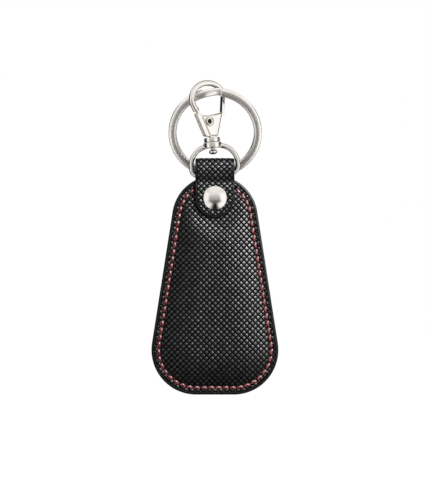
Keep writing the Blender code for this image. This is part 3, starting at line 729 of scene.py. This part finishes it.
def stitch_rings(n, way):
    """Rings of (point, shade) for one stitch, twisted one way or the other; the shade is
    painted shade.
    """
    t = np.linspace(STITCH_FROM, STITCH_TO, STITCH_RINGS)
    centre, ahead = along(SEAM, (n + t) * PITCH)
    across = np.stack([ahead[:, 1], -ahead[:, 0]], axis=1)
    slant = STITCH_SLANT * (t - 0.5)
    lift = STITCH_RISE * np.sin(pi * t) ** STITCH_ARCH - STITCH_SUNK - SEAM_DEPTH
    angle = np.linspace(0, 2 * pi, STITCH_SIDES, endpoint=False)
    rings = []
    for k in range(STITCH_RINGS):
        ply = 0.5 + 0.5 * np.cos(2 * angle - way * PLY_TURNS * 2 * pi * t[k])
        from_middle = abs(2 * t[k] - 1)
        radius = (1 - PLY_SHARE + PLY_SHARE * ply) * (1 - STITCH_TAPER * from_middle**4)
        wide = THREAD_WIDE * radius * np.cos(angle) + slant[k]
        high = RIM_FACE + lift[k] + THREAD_HIGH * radius * np.sin(angle)
        spot = centre[k] + across[k] * wide[:, None]
        # Painted shade: darker between the plies and towards the ends, where the thread goes
        # into its holes.
        shade = ply * (1 - from_middle**5)
        rings.append([((x, -y, z), p) for (x, z), y, p in zip(spot, high, shade)])
    return rings


def make_stitches(name, facing, node):
    bm = bmesh.new()
    layer = bm.verts.layers.float.new("relief")
    for n in range(STITCHES):
        loops = []
        for ring in stitch_rings(n, 1 if facing == "front" else -1):
            loops.append([bm.verts.new(point) for point, _ in ring])
            # Each point keeps its painted shade in the relief attribute.
            for vert, (_, ply) in zip(loops[-1], ring):
                vert[layer] = ply
        loft(bm, loops)
    place(name, mesh_of(bm), FOB @ FACING[facing], [THREAD], "fob", "red_thread", node)


make_stitches("front_seam", "front", "front_stitching")
make_stitches("back_seam", "back", "back_stitching")

# %% [markdown]
# ## The strap
#
# One band of the same leather is folded over the bar and riveted through the
# fob. Flat, it is a strip with two round ends, so it is pressed with diamonds
# flat, as the real one is, and bent afterwards. The bend follows the strap's side
# view: round over the bar, a soft bulge in front of it, drawn in below it, then
# straight down over the panel.

# %% The strap from the side
STRAP_THICK, STRAP_INNER, FOLD_TOP, FOLD_CORNER = 1.1, 1.65, 5.06, 0.5
STRAP_MID = STRAP_INNER + STRAP_THICK / 2
FOLD_Z = FOLD_TOP - STRAP_INNER - STRAP_THICK
BULGE, WAIST = (0.22, 1.5, 1.7), (-0.50, -2.6, 1.35)


def strap_wave(z):
    """How far the leather stands out of a straight line, by (size, height, reach)."""
    return sum(out * np.exp(-(((z - at) / reach) ** 2)) for out, at, reach in (BULGE, WAIST))


def strap_side():
    """The front half's middle line in (y, z), from the fold's top to the tab's end."""
    angles = np.linspace(0, pi / 2, 24)
    fold = [(STRAP_MID * sin(a), FOLD_Z + STRAP_MID * cos(a)) for a in angles]
    heights = np.linspace(FOLD_Z, RIVET_Z - STRAP_HALF - 1, 90)[1:]
    return np.array(fold + [(STRAP_MID + strap_wave(z), z) for z in heights])


STRAP_LINE = strap_side()
TAB_RUN = float(np.interp(-RIVET_Z, -STRAP_LINE[:, 1], run_of(STRAP_LINE)))


def bend(u, h, s):
    """Flat strap to its place: u across, h out of the leather, s from the fold down."""
    middle, ahead = along(STRAP_LINE, np.abs(s), 0.1)
    y = middle[:, 0] - ahead[:, 1] * h
    z = middle[:, 1] + ahead[:, 0] * h
    over = np.clip(z - (FOLD_TOP - FOLD_CORNER), 0, FOLD_CORNER)
    narrow = FOLD_CORNER - np.sqrt(np.maximum(FOLD_CORNER**2 - over**2, 0))
    return u * (1 - narrow / STRAP_HALF), np.where(s > 0, -y, y), z


# %% Strap
STRAP_BAND = 0.46
PRESS_R, PRESS_WIDE, PRESS_DEPTH = 3.5, 0.9, 0.12


def strap_outline(inset):
    radius = STRAP_HALF - inset
    ring = arc((0, TAB_RUN), radius, 0, pi, 40)
    return ring + arc((0, -TAB_RUN), radius, pi, 2 * pi, 40)


def press_strap(bm, half):
    """Lifts the flat sheet to the strap's face, pressed in round the rivet's caps."""
    layer = bm.verts.layers.float.new("relief")
    x, _, z = spots(bm.verts)
    share, pillow = relief_at(x, z)
    reach = np.hypot(x, np.maximum(np.abs(z) - TAB_RUN, 0))
    fade = np.clip((STRAP_HALF - STRAP_BAND - reach) / FADE, 0, 1)
    from_cap = (np.hypot(x, np.abs(z) - TAB_RUN) - PRESS_R) / PRESS_WIDE
    height = half + RELIEF * (share * fade - 1) + PILLOW * pillow * fade
    height -= PRESS_DEPTH * np.exp(-(from_cap**2))
    for vert, h, relief in zip(bm.verts, height, share * fade):
        vert.co.y, vert[layer] = h, min(relief, 1.0)
    return layer


def make_strap():
    band, half = STRAP_BAND, STRAP_THICK / 2
    points = strap_outline(band)
    bm = diamond_sheet(points)
    layer = press_strap(bm, half)
    face = bm.verts[:] + bm.edges[:] + bm.faces[:]
    inner = bmesh.ops.duplicate(bm, geom=face)["geom"]
    for vert in only(BMVert, inner):
        vert.co.y, vert[layer] = -half, 1.0
    hidden = set(only(BMEdge, inner))
    open_edges = [e for e in bm.edges if e.is_boundary and e not in hidden]
    steps = [(0.16, half - 0.05), (band - 0.08, half - 0.16), (band, half - 0.36)]
    steps += [(band, 0.36 - half), (band - 0.08, 0.16 - half), (0.0, -half)]
    pull_rim(bm, points, open_edges, steps)
    bmesh.ops.remove_doubles(bm, verts=bm.verts, dist=1e-3)
    for vert, spot in zip(bm.verts, np.stack(bend(*spots(bm.verts)), axis=1)):
        vert.co = spot
    place("leather_strap", mesh_of(bm), FOB, [LEATHER, EDGE], "fob", "black_leather", "strap")


make_strap()

# %% [markdown]
# ## Turned pieces
#
# The rivet's caps, the hollow rivet of the gate and the swivel's post are
# turned. Each is a profile with a Screw modifier, with enough steps to look
# round from close by.


# %% Turning
def turned(profile, steps=64):
    """A profile of (radius, height) from top to bottom, turned about Z."""
    bm = bmesh.new()
    verts = [bm.verts.new((r, 0, h)) for r, h in profile]
    for pair in zip(verts, verts[1:]):
        bm.edges.new(pair)
    screw = {"steps": steps, "render_steps": steps}
    screw |= {"use_merge_vertices": True, "merge_threshold": 1e-4}
    mesh = applied(mesh_of(bm, "profile"), ("SCREW", screw))
    bm = bmesh.new()
    bm.from_mesh(mesh)
    bmesh.ops.remove_doubles(bm, verts=bm.verts, dist=1e-4)
    return mesh_of(bm)


def round_edge(centre, radius, start, end, count):
    return arc(centre, radius, radians(start), radians(end), count)


def disc(top, low, radius, top_edge, low_edge):
    """A turned disc, with a radius for each rounded edge."""
    upper = round_edge((radius - top_edge, top - top_edge), top_edge, 90, 0, 5)
    lower = round_edge((radius - low_edge, low + low_edge), low_edge, 0, -90, 5)
    return turned([(0, top), (radius - top_edge, top), *upper, *lower, (0, low)])


FORWARD = Matrix.Rotation(pi / 2, 4, "X")
AT_RIVET = FOB @ Matrix.Translation((0, 0, RIVET_Z)) @ FORWARD

# %% [markdown]
# ## The strap's rivet
#
# A domed cap shows in front. Its edge is rolled under and sits in the leather.
# The back cap is flatter. Both are bright, because a dome is polished by its
# press.


# %% Rivet
CAP_ROLL, CAP_SINK = 0.16, 0.16
FRONT_CAP, BACK_CAP = {"radius": 3.85, "rise": 1.40}, {"radius": 3.4, "rise": 0.75}
SHANK_R, SHANK_DEEP = 1.5, 0.2


def dome(radius, seat, rise):
    """A cap's profile above its seat: a round top and a short rolled edge."""
    roll = CAP_ROLL
    slope = 2 * atan2(rise, radius - roll / 2)
    sphere = (radius - roll / 2) / sin(slope)
    top = seat + 2 * roll + rise
    angles = np.linspace(0, slope, 20)
    profile = [(sphere * sin(a), top - sphere * (1 - cos(a))) for a in angles]
    edge_r, edge_h = profile[-1]
    across, up = edge_r - roll * sin(slope), edge_h - roll * cos(slope)
    angles = np.linspace(slope, pi, 9)[1:]
    profile += [(across + roll * sin(a), up + roll * cos(a)) for a in angles]
    return profile + [(radius - 3 * roll, seat), (0, seat)]


CAP_SEAT = STRAP_INNER + STRAP_THICK - CAP_SINK
front_cap = turned(dome(seat=CAP_SEAT, **FRONT_CAP))
place("cap_front", front_cap, AT_RIVET, [BRIGHT], "fob", "nickel_plate", "rivet_cap")
shank = [(r, CAP_SEAT + SHANK_DEEP) for r in (0, SHANK_R)] + [(SHANK_R, -CAP_SEAT)]
back_dome = dome(seat=CAP_SEAT, **BACK_CAP)[::-1]
back_cap = turned(shank + [(r, -h) for r, h in back_dome][1:])
place("cap_back", back_cap, AT_RIVET, [BRIGHT], "fob", "nickel_plate", "rivet_post")

# %% [markdown]
# ## The split key ring
#
# One flat wire with soft corners is wound twice and pressed, so that its coils
# nearly touch. It crosses from the front coil to the back one at the top, in the
# hook, between its two blunt ends. A loft along the path keeps the section
# upright, which a bevelled curve doesn't.

# %% Key ring
RING_RADIUS, WIRE_WIDE, WIRE_THICK, COIL_GAP = 13.75, 2.5, 1.08, 0.06
RING_END, RING_CROSS = radians(7.5), radians(23.5)
RING_STEPS, SECTION_SIDES, FULLNESS = 300, 28, 0.88
BLUNT = ((0.0, 0.72), (0.04, 0.92), (0.14, 1.0))


def wire_section():
    """The wire's section as (outwards, along the ring's axis): a full, flat oval."""
    angle = np.linspace(0, 2 * pi, SECTION_SIDES, endpoint=False)
    c, s = np.cos(angle), np.sin(angle)
    out = WIRE_WIDE / 2 * np.sign(c) * np.abs(c) ** FULLNESS
    up = WIRE_THICK / 2 * np.sign(s) * np.abs(s) ** FULLNESS
    return np.stack([out, up], axis=1)


def make_key_ring():
    level = (WIRE_THICK + COIL_GAP) / 2
    end = RING_END + 4 * pi - RING_CROSS
    nose, round_off = np.array(BLUNT).T
    angles = np.linspace(RING_END, end, RING_STEPS)[1:-1]
    angles = [*(RING_END + nose / RING_RADIUS), *angles, *(end - nose[::-1] / RING_RADIUS)]
    scales = [*round_off, *np.ones(RING_STEPS - 2), *round_off[::-1]]
    bm = bmesh.new()
    loops = []
    for angle, scale in zip(angles, scales):
        share = min(max((angle - RING_END - 2 * pi) / RING_CROSS + 1, 0), 1)
        height = level * (1 - 2 * share * share * (3 - 2 * share))
        loops.append([])
        for out, up in wire_section() * scale:
            radius = RING_RADIUS + out
            spot = (radius * sin(angle), radius * cos(angle) - RING_RADIUS, height + up)
            loops[-1].append(bm.verts.new(spot))
    loft(bm, loops)
    mesh = mesh_of(bm)
    place("split_ring", mesh, RING, [BRUSHED], "ring", "nickel_plate", "key_ring", sharp=60)


make_key_ring()

# %% [markdown]
# ## Cast and pressed pieces
#
# The hook and the swivel loop are die cast, and the lever is pressed from sheet:
# all their edges and inner corners are soft. Simple shapes are laid over each
# other, a Remesh modifier melts them into one skin, and a Smooth modifier rounds
# what is sharp, as tumbling does.


# %% Shapes to melt together
ROD_SIDES = 40


def rod(points, radius, closed=False):
    """A round rod along points in the X-Z plane."""
    path = np.array(points, float)
    ahead = np.roll(path, -1, axis=0) - np.roll(path, 1, axis=0)
    if not closed:
        ahead[0], ahead[-1] = path[1] - path[0], path[-1] - path[-2]
    ahead /= np.linalg.norm(ahead, axis=1)[:, None]
    bm = bmesh.new()
    loops = []
    for (x, z), (dx, dz) in zip(path, ahead):
        loops.append([])
        for a in np.linspace(0, 2 * pi, ROD_SIDES, endpoint=False):
            out, y = radius * cos(a), radius * sin(a)
            loops[-1].append(bm.verts.new((x + dz * out, y, z - dx * out)))
    loft(bm, loops, closed)
    return mesh_of(bm)


def plate(points, thickness):
    """A flat outline of (x, z) with thickness along Y."""
    bm = bmesh.new()
    face = bm.faces.new([bm.verts.new((x, -thickness / 2, z)) for x, z in points])
    made = bmesh.ops.extrude_face_region(bm, geom=[face])["geom"]
    for vert in only(BMVert, made):
        vert.co.y += thickness
    return mesh_of(bm)


def moved(mesh, matrix):
    mesh.transform(matrix)
    return mesh


# %% Cutting and melting
def bore(x, radius, half_length=3):
    """A round tool that lies along Y."""
    size = {"radius1": radius, "radius2": radius, "depth": 2 * half_length}
    bm = bmesh.new()
    bmesh.ops.create_cone(bm, cap_ends=True, segments=40, **size)
    return moved(mesh_of(bm), Matrix.Translation((x, 0, 0)) @ FORWARD)


def melted(meshes, voxel, smooth, cuts=()):
    """Overlapping shapes as one skin with soft edges, with tools cut out of it."""
    bm = bmesh.new()
    for mesh in meshes:
        bm.from_mesh(mesh)
    remesh = ("REMESH", {"mode": "VOXEL", "voxel_size": voxel})
    tools = [show(bpy.data.objects.new("cut", cut)) for cut in cuts]
    modifiers = [("BOOLEAN", {"operation": "DIFFERENCE", "object": tool}) for tool in tools]
    modifiers = [remesh, *modifiers, remesh] if tools else [remesh]
    modifiers.append(("SMOOTH", {"factor": 0.5, "iterations": smooth}))
    made = applied(mesh_of(bm, "joined"), *modifiers)
    for tool in tools:
        bpy.data.objects.remove(tool)
    return made


# %% [markdown]
# ## The hook
#
# A round rod bends from the limb on the left over the bow to the nose on the
# right. Its foot flattens into a tang, which the lever straddles, and the tang
# ends in a round collar, which the swivel's post is fixed in.

# %% Hook path
SHEET, LEVER_HALF = 0.35, 1.25
LEVER = {"top_left": 5.2, "top": 3.0, "dip": 2.0, "dip_x": -1.7, "top_right": 4.4}
LEVER |= {"shoulder": 2.8, "bottom": -4.75, "bottom_left": 2.56, "bottom_right": 1.82}
WEB_SLOPE = (LEVER["top_left"] - LEVER["bottom_left"]) / (LEVER["top"] - LEVER["bottom"])
FINGER_X, FINGER_FOOT, FINGER_WIDE, FINGER_LEAN = 4.2, 2.1, 0.9, radians(9.52)
LIMB_IN, LIMB_DROP, BOW_END = 1.2, 3.2, radians(10)
FINGER_REACH, NOSE_REACH = 10.39, 10.74


def web_x(height, inward=0.0):
    """Where the lever's web stands at a height, or a distance inside it."""
    left = LEVER["bottom_left"] + WEB_SLOPE * (height - LEVER["bottom"])
    return inward * hypot(1, WEB_SLOPE) - left


def hook_path():
    left = BOW["across"] - BOW["width"]
    shares = np.linspace(1, 0, 24)[:-1]
    limb = [(left + LIMB_IN * s**1.5, BOW["height"] - LIMB_DROP * s) for s in shares]
    bow = []
    for a in np.linspace(pi, BOW_END, 110):
        out, up = BOW["width"] * cos(a), BOW["rise"] * sin(a)
        bow.append((BOW["across"] + out, BOW["height"] + up))
    return limb + bow


def gate_tip():
    """The unit direction from the pivot to the finger's right corner."""
    across = FINGER_X + FINGER_WIDE / 2 - PIVOT
    up = sqrt(FINGER_REACH**2 - across**2)
    for _ in range(20):
        reach = across + tan(FINGER_LEAN) * (up - FINGER_FOOT)
        up = sqrt(FINGER_REACH**2 - reach**2)
    return reach / FINGER_REACH, up / FINGER_REACH


GATE_TIP = gate_tip()

# %% Hook
COLLAR_TOP, COLLAR_BOTTOM, COLLAR_R, COLLAR_EDGE = -5.17, -6.62, 2.6, 0.22
TANG_THICK, PIVOT_BORE = 1.2, 1.1


def nose_cut():
    """A block beyond which the nose ends, square to the line from the pivot."""
    nx, nz = GATE_TIP
    size = 4.0
    middle = NOSE_REACH - size / 2
    bm = bmesh.new()
    bmesh.ops.create_cube(bm, size=size)
    at = Matrix.Translation((PIVOT + nx * middle, 0, nz * middle))
    return moved(mesh_of(bm), at @ Matrix.Rotation(atan2(nx, nz), 4, "Y"))


def tang_outline(foot):
    """From the collar up to the limb's foot, a sheet's thickness inside the web."""
    x, z = foot
    inner, low = SHEET + 0.3, COLLAR_TOP - 0.4
    points = [(-0.5, low), (1.7, low), (1.7, 1.4), (-1.7, 1.4), (x + 0.95, 3.0)]
    points += [(x + 0.75, z + 0.9), (x - 0.3, z + 0.95)]
    return points + [(web_x(3.0, inner), 3.0), (web_x(0.3, inner + 0.2), 0.3)]


def make_hook():
    path = hook_path()
    bow = rod(path, BOW["rod"])
    tang = plate(tang_outline(path[0]), TANG_THICK)
    collar = disc(COLLAR_TOP, COLLAR_BOTTOM, COLLAR_R, COLLAR_EDGE, COLLAR_EDGE)
    cuts = [nose_cut(), bore(PIVOT, PIVOT_BORE)]
    mesh = melted([bow, tang, collar], voxel=0.09, smooth=5, cuts=cuts)
    place("cast_hook", mesh, CLASP, [SATIN], "clasp", "nickel_plate", "hook_body")


make_hook()

# %% [markdown]
# ## The gate lever
#
# The lever is one pressed sheet: two cheeks, a web that joins them on the left,
# and a finger on the right that closes the hook. The press leaves a sloping facet
# along the web, which makes the web narrower than the lever, soft hems along the
# cheeks' other edges, and a shallow seat round the rivet. Facet and hems are made
# last, by drawing points towards the middle, so that the crease stays crisp.


# %% Lever outlines
def cheek_outline():
    left, right, middle = -LEVER["top_left"], LEVER["top_right"], LEVER["dip_x"]
    low = LEVER["bottom"]
    points = [(web_x(low + 0.5), low + 0.5), (web_x(low) + 0.5, low)]
    points += [(LEVER["bottom_right"], low), (right, LEVER["shoulder"])]
    for share in np.linspace(1, -1, 17)[1:-1]:
        side = right if share > 0 else left
        rise = (LEVER["shoulder"] if share > 0 else LEVER["top"]) - LEVER["dip"]
        points.append((middle + abs(share) * (side - middle), LEVER["dip"] + rise * share**2))
    return points + [(left, LEVER["top"])]


def finger_outline():
    nx, nz = GATE_TIP
    slope = tan(FINGER_LEAN)
    ends = []
    for side in (FINGER_WIDE, 0):
        root = FINGER_X + side
        reach = FINGER_REACH - nx * (root - slope * FINGER_FOOT - PIVOT)
        height = reach / (nx * slope + nz)
        ends.append((root + slope * (height - FINGER_FOOT), height))
    right = FINGER_X + FINGER_WIDE
    root = [(FINGER_X - 0.5, 1.3), (FINGER_X - 0.1, 1.3), (right, FINGER_FOOT)]
    return root + ends + [(FINGER_X, FINGER_FOOT)]


# %% Facet and hems
FACET = ((0.0, 1.3, 1.7), (0.74, 0.87, 1.0))
HEM = ((0.0, 0.45), (0.76, 1.0))
HEM_START, HEM_FACE, HEM_SOFT = 1.0, 0.8, 0.1


def from_outline(points, x, z):
    """The distance to the nearest side of a closed outline."""
    best = np.full(len(x), 1e9)
    for (ax, az), (bx, bz) in zip(points, points[1:] + points[:1]):
        dx, dz = bx - ax, bz - az
        share = np.clip(((x - ax) * dx + (z - az) * dz) / (dx * dx + dz * dz), 0, 1)
        best = np.minimum(best, np.hypot(x - ax - share * dx, z - az - share * dz))
    return best


def fold_facet(mesh):
    """Draws the cheeks together along the web, and presses their other edges in."""
    flat = np.empty(len(mesh.vertices) * 3)
    mesh.vertices.foreach_get("co", flat)
    x, y, z = flat.reshape(-1, 3).T
    from_web = (x - web_x(z)) / hypot(1, WEB_SLOPE)
    hem = np.interp(from_outline(cheek_outline(), x, z), *HEM)
    cheek = np.clip((np.abs(y) - HEM_FACE) / HEM_SOFT, 0, 1)
    hem = 1 - (1 - hem) * cheek * np.clip(from_web - HEM_START, 0, 1)
    y *= np.interp(from_web, *FACET) * hem
    mesh.vertices.foreach_set("co", np.stack([x, y, z], axis=1).ravel())


# %% Lever
SEAT_R, SEAT_DEPTH, SEAT_TOOL = 1.55, 0.20, 0.5
LEVER_BORE, FINGER_THICK = 1.15, 1.6


def make_lever():
    root, foot, low = FINGER_X - FINGER_WIDE, 0.8, -6
    hollow = [(web_x(low, SHEET), low), (7, low), (7, foot), (root, foot), (root, 5)]
    cuts = [plate(hollow + [(web_x(5, SHEET), 5)], 2 * (LEVER_HALF - SHEET))]
    cuts.append(bore(PIVOT, LEVER_BORE))
    for side in (1, -1):
        seat = side * (LEVER_HALF - SEAT_DEPTH + SEAT_TOOL)
        cuts.append(moved(bore(PIVOT, SEAT_R, SEAT_TOOL), Matrix.Translation((0, seat, 0))))
    body = melted([plate(cheek_outline(), 2 * LEVER_HALF)], voxel=0.08, smooth=0, cuts=cuts)
    mesh = melted([body, plate(finger_outline(), FINGER_THICK)], voxel=0.08, smooth=3)
    fold_facet(mesh)
    place("pressed_lever", mesh, CLASP, [SATIN], "gate", "nickel_plate", "gate_lever")


make_lever()

# %% [markdown]
# ## The gate's hollow rivet
#
# The lever turns on an eyelet: a short tube whose ends are rolled outwards over
# the cheeks. The dark hole through it shows in the photograph.


# %% Eyelet
def make_eyelet():
    hole, tube, lip = 0.74, 1.0, 0.21
    seat = LEVER_HALF - SEAT_DEPTH + 0.04
    curl = round_edge((hole + lip, seat + lip), lip, 180, -100, 16)
    top = [(hole, seat - 0.4), *curl, (tube, seat)]
    mesh = turned(top + [(r, -h) for r, h in top[::-1]] + [top[0]], 48)
    at = CLASP @ Matrix.Translation((PIVOT, 0, 0)) @ FORWARD
    place("rolled_eyelet", mesh, at, [BRIGHT], "clasp", "nickel_plate", "gate_rivet")


make_eyelet()

# %% [markdown]
# ## The swivel
#
# A cast loop of round wire has a thick hub at its top. The post's shank passes
# through the hub and its round head, under it, carries the load.

# %% Swivel
HUB_TOP, HUB_LOW, HUB_R, WIRE_R, POST_BORE = -6.7, -8.6, 2.9, 0.8, 0.95
LOOP_HALF, SHOULDER, CORNER = 7.45, 6.0, 1.95
HUB_MIDDLE = (HUB_TOP + HUB_LOW) / 2


def make_loop():
    top, low = HUB_MIDDLE - 0.2 - SHOULDER, BAR_HEIGHT + CORNER
    path = arc((LOOP_HALF - SHOULDER, top), SHOULDER, pi / 2, 0, 60)
    path += arc((LOOP_HALF - CORNER, low), CORNER, 0, -pi / 2, 24)
    path += arc((CORNER - LOOP_HALF, low), CORNER, -pi / 2, -pi, 24)
    path += arc((SHOULDER - LOOP_HALF, top), SHOULDER, pi, pi / 2, 60)
    wire = rod(path, WIRE_R, closed=True)
    hub = disc(HUB_TOP, HUB_LOW, HUB_R, top_edge=0.15, low_edge=0.45)
    hole = moved(moved(bore(0, POST_BORE), FORWARD), Matrix.Translation((0, 0, HUB_MIDDLE)))
    mesh = melted([wire, hub], voxel=0.09, smooth=5, cuts=[hole])
    place("cast_loop", mesh, LOOP, [SATIN], "swivel", "nickel_plate", "swivel_loop")


def make_post():
    top, under = COLLAR_BOTTOM + 0.5, HUB_LOW - 0.3
    wide, high, shank_r, neck = 1.4, 0.85, 0.65, 0.6
    angles = np.linspace(radians(-60), pi / 2, 16)
    head = [(wide * cos(a), under - high - high * sin(a)) for a in angles]
    shank = [(0, top), (shank_r, top), (shank_r, under - 0.02), (neck, under - 0.1)]
    mesh = turned(shank + head, 48)
    place("round_headed_post", mesh, CLASP, [BRIGHT], "clasp", "nickel_plate", "swivel_post")


make_loop()
make_post()

# %% [markdown]
# ## Pieces that keep their shape
#
# The leaf spring and the stiffener board are right as they are in the packed
# model, and mostly out of sight. They only get their finishes.

# %% Carried-over pieces
for node, finish in (("gate_spring", SPRING), ("stiffener_board", BOARD)):
    mesh = frame["nodes"][node].data
    mesh.materials.clear()
    mesh.materials.append(finish)
    print(node, "keeps its shape")

# %% [markdown]
# ## Floor and backdrop
#
# The photograph has a plain white ground. More lamps could make it, but they
# would wash out the object. Instead the camera and the reflections see a white
# world, and the floor glows a little for them, so that it is nearly white and
# still shows a shadow. Everything else gets the world's plain, weaker light.

# %% World and floor
FLOOR = -210
WORLD_LIGHT, FLOOR_GREY, FLOOR_GLOW = 0.55, 0.72, 0.62


def white_to(finish, lit):
    """1 for rays from the camera and from reflections, and lit for the others."""
    camera, glossy, through = (
        finish.node("ShaderNodeLightPath", output=f"Is {ray} Ray")
        for ray in ("Camera", "Glossy", "Transmission")
    )
    white = camera.top(glossy).top(through)
    return white + (1 - white) * lit


def add_world():
    world = bpy.data.worlds.new("studio")
    bpy.context.scene.world = world
    finish = Finish(world, "Background")
    finish.dress(Color=(1, 1, 1, 1), Strength=white_to(finish, WORLD_LIGHT))


def add_floor():
    bm = bmesh.new()
    bmesh.ops.create_grid(bm, x_segments=1, y_segments=1, size=4)
    floor = show(bpy.data.objects.new("floor", mesh_of(bm)))
    floor.location.z = FLOOR * MM
    finish = new_finish("pale floor", (FLOOR_GREY,) * 3, 0.9, Specular_IOR_Level=0.0)
    plain = Level(finish, finish.shader.outputs[0])
    glow = {"Strength": white_to(finish, 0.0) * FLOOR_GLOW}
    glow = finish.node("ShaderNodeEmission", None, glow)
    both = finish.node("ShaderNodeAddShader", None, {0: plain, 1: glow})
    finish.feed(finish.tree.nodes["Material Output"].inputs[0], both)
    floor.data.materials.append(finish.owner)


add_world()
add_floor()
bpy.context.scene.view_settings.view_transform = "Standard"

# %% [markdown]
# ## Lamps
#
# The key lamp, above on the right, lights the paint, the leather and the floor.
# Reflections leave it out, because on the nickel it would burn a spot. The sheen
# lamp is near and low on the right, and only reflections see it: it makes the
# gloss of the pressed tops. Light linking ties it to the leather and the thread,
# since it would wash out the nickel's grey shades.

# %% Lamps
AIM = Vector((3, 0, -45))


def stand(thing, toward, distance):
    """Puts a lamp or a card in a direction from the keychain, facing it."""
    toward = Vector(toward).normalized()
    thing.location = (AIM + toward * distance) * MM
    thing.rotation_euler = toward.to_track_quat("Z", "Y").to_euler()
    return show(thing)


def add_lamp(name, toward, distance, size, radiance):
    data = bpy.data.lights.new(name, "AREA")
    data.shape, data.size, data.size_y = "RECTANGLE", size[0] * MM, size[1] * MM
    data.energy = radiance * pi * data.size * data.size_y
    return stand(bpy.data.objects.new(name, data), toward, distance)


def is_soft(thing):
    """Whether a mesh has the leather's or the thread's finish."""
    if thing.type != "MESH":
        return False
    return any(finish in (LEATHER, THREAD) for finish in thing.data.materials)


key = add_lamp("key", (0.52, -0.66, 0.52), distance=540, size=(190, 230), radiance=12)
key.visible_glossy = False
sheen = add_lamp("sheen", (0.60, -0.62, 0.56), distance=290, size=(170, 170), radiance=78)
sheen.visible_diffuse = False
soft_pieces = bpy.data.collections.new("soft pieces")
for piece in filter(is_soft, bpy.context.scene.objects):
    soft_pieces.objects.link(piece)
sheen.light_linking.receiver_collection = soft_pieces

# %% [markdown]
# ## Cards
#
# Polished metal shows whatever stands round it. A photographer gives it its tones
# with light boxes, cards and black flags just outside the picture. These have soft
# edges and only reflections see them, so they throw no shadow and don't hide the
# keychain from another side. A grey card stands round the camera, and a small dark
# one below it makes the dome's shade. Light boxes on both sides and above give the
# bright planes, flags behind on both sides the dark outlines, and two black cards
# lie on the floor, in front and behind.


# %% One card
def add_card(name, half, grey, soft):
    """A card of half-sizes in mm; soft is the share of each side that fades out."""
    half = [size * MM for size in half]
    bm = bmesh.new()
    bmesh.ops.create_grid(bm, x_segments=1, y_segments=1, size=1)
    bmesh.ops.scale(bm, vec=(*half, 1), verts=bm.verts)
    card = bpy.data.objects.new(name, mesh_of(bm, name))
    for kind in ("camera", "diffuse", "transmission", "volume_scatter", "shadow"):
        setattr(card, "visible_" + kind, False)
    finish = Finish(bpy.data.materials.new(name))
    finish.tree.nodes.remove(finish.shader)
    reach = finish.node("ShaderNodeVectorMath", {"operation": "ABSOLUTE"}, {0: finish.place()})
    cover = 1.0
    for axis, size in enumerate(half):
        away = finish.node("ShaderNodeSeparateXYZ", None, {0: reach}, axis)
        ends = {"Value": away, "From Min": size * (1 - soft[axis]), "From Max": size}
        ends |= {"To Min": 1.0, "To Max": 0.0}
        fade = finish.node("ShaderNodeMapRange", {"interpolation_type": "SMOOTHSTEP"}, ends)
        cover = fade * cover
    paint = finish.node("ShaderNodeEmission", None, {"Color": (grey, grey, grey, 1)})
    clear = finish.node("ShaderNodeBsdfTransparent")
    both = finish.node("ShaderNodeMixShader", None, {0: cover, 1: clear, 2: paint})
    finish.feed(finish.tree.nodes["Material Output"].inputs[0], both)
    card.data.materials.append(finish.owner)
    return card


# %% Cards
# Half-sizes in mm, grey, soft shares, then the direction and distance it stands at.
STANDING = {
    "front_card": ((940, 380), 0.55, (0.35, 0.85), (0, -1, -0.18), 480),
    "shade_card": ((320, 95), 0.16, (0.85, 0.95), (0, -1, -0.42), 250),
    "left_flag": ((250, 260), 0.02, (0.2, 0.4), (-0.88, 0.48, -0.05), 260),
    "right_flag": ((190, 220), 0.06, (0.3, 0.4), (0.85, 0.52, 0), 260),
    "left_box": ((210, 330), 1.25, (0.5, 0.5), (-0.82, -0.55, 0.1), 520),
    "right_box": ((280, 330), 1.35, (0.5, 0.5), (0.82, -0.55, 0.1), 520),
    "top_box": ((420, 330), 1.15, (0.5, 0.5), (0.1, -0.5, 0.85), 520),
    "roof_card": ((320, 260), 0.50, (0.5, 0.5), (0, 0.5, 0.85), 300),
}
# The same, then the place of its middle.
LYING = {
    "low_card": ((125, 500), 0.015, (0.85, 0.6), (3, -150, FLOOR + 5)),
    "back_card": ((330, 230), 0.04, (0.4, 0.5), (-50, 170, FLOOR + 8)),
}

for name, (half, grey, soft, toward, distance) in STANDING.items():
    stand(add_card(name, half, grey, soft), toward, distance)
for name, (half, grey, soft, middle) in LYING.items():
    show(add_card(name, half, grey, soft)).location = Vector(middle) * MM
print("cards:", ", ".join([*STANDING, *LYING]))
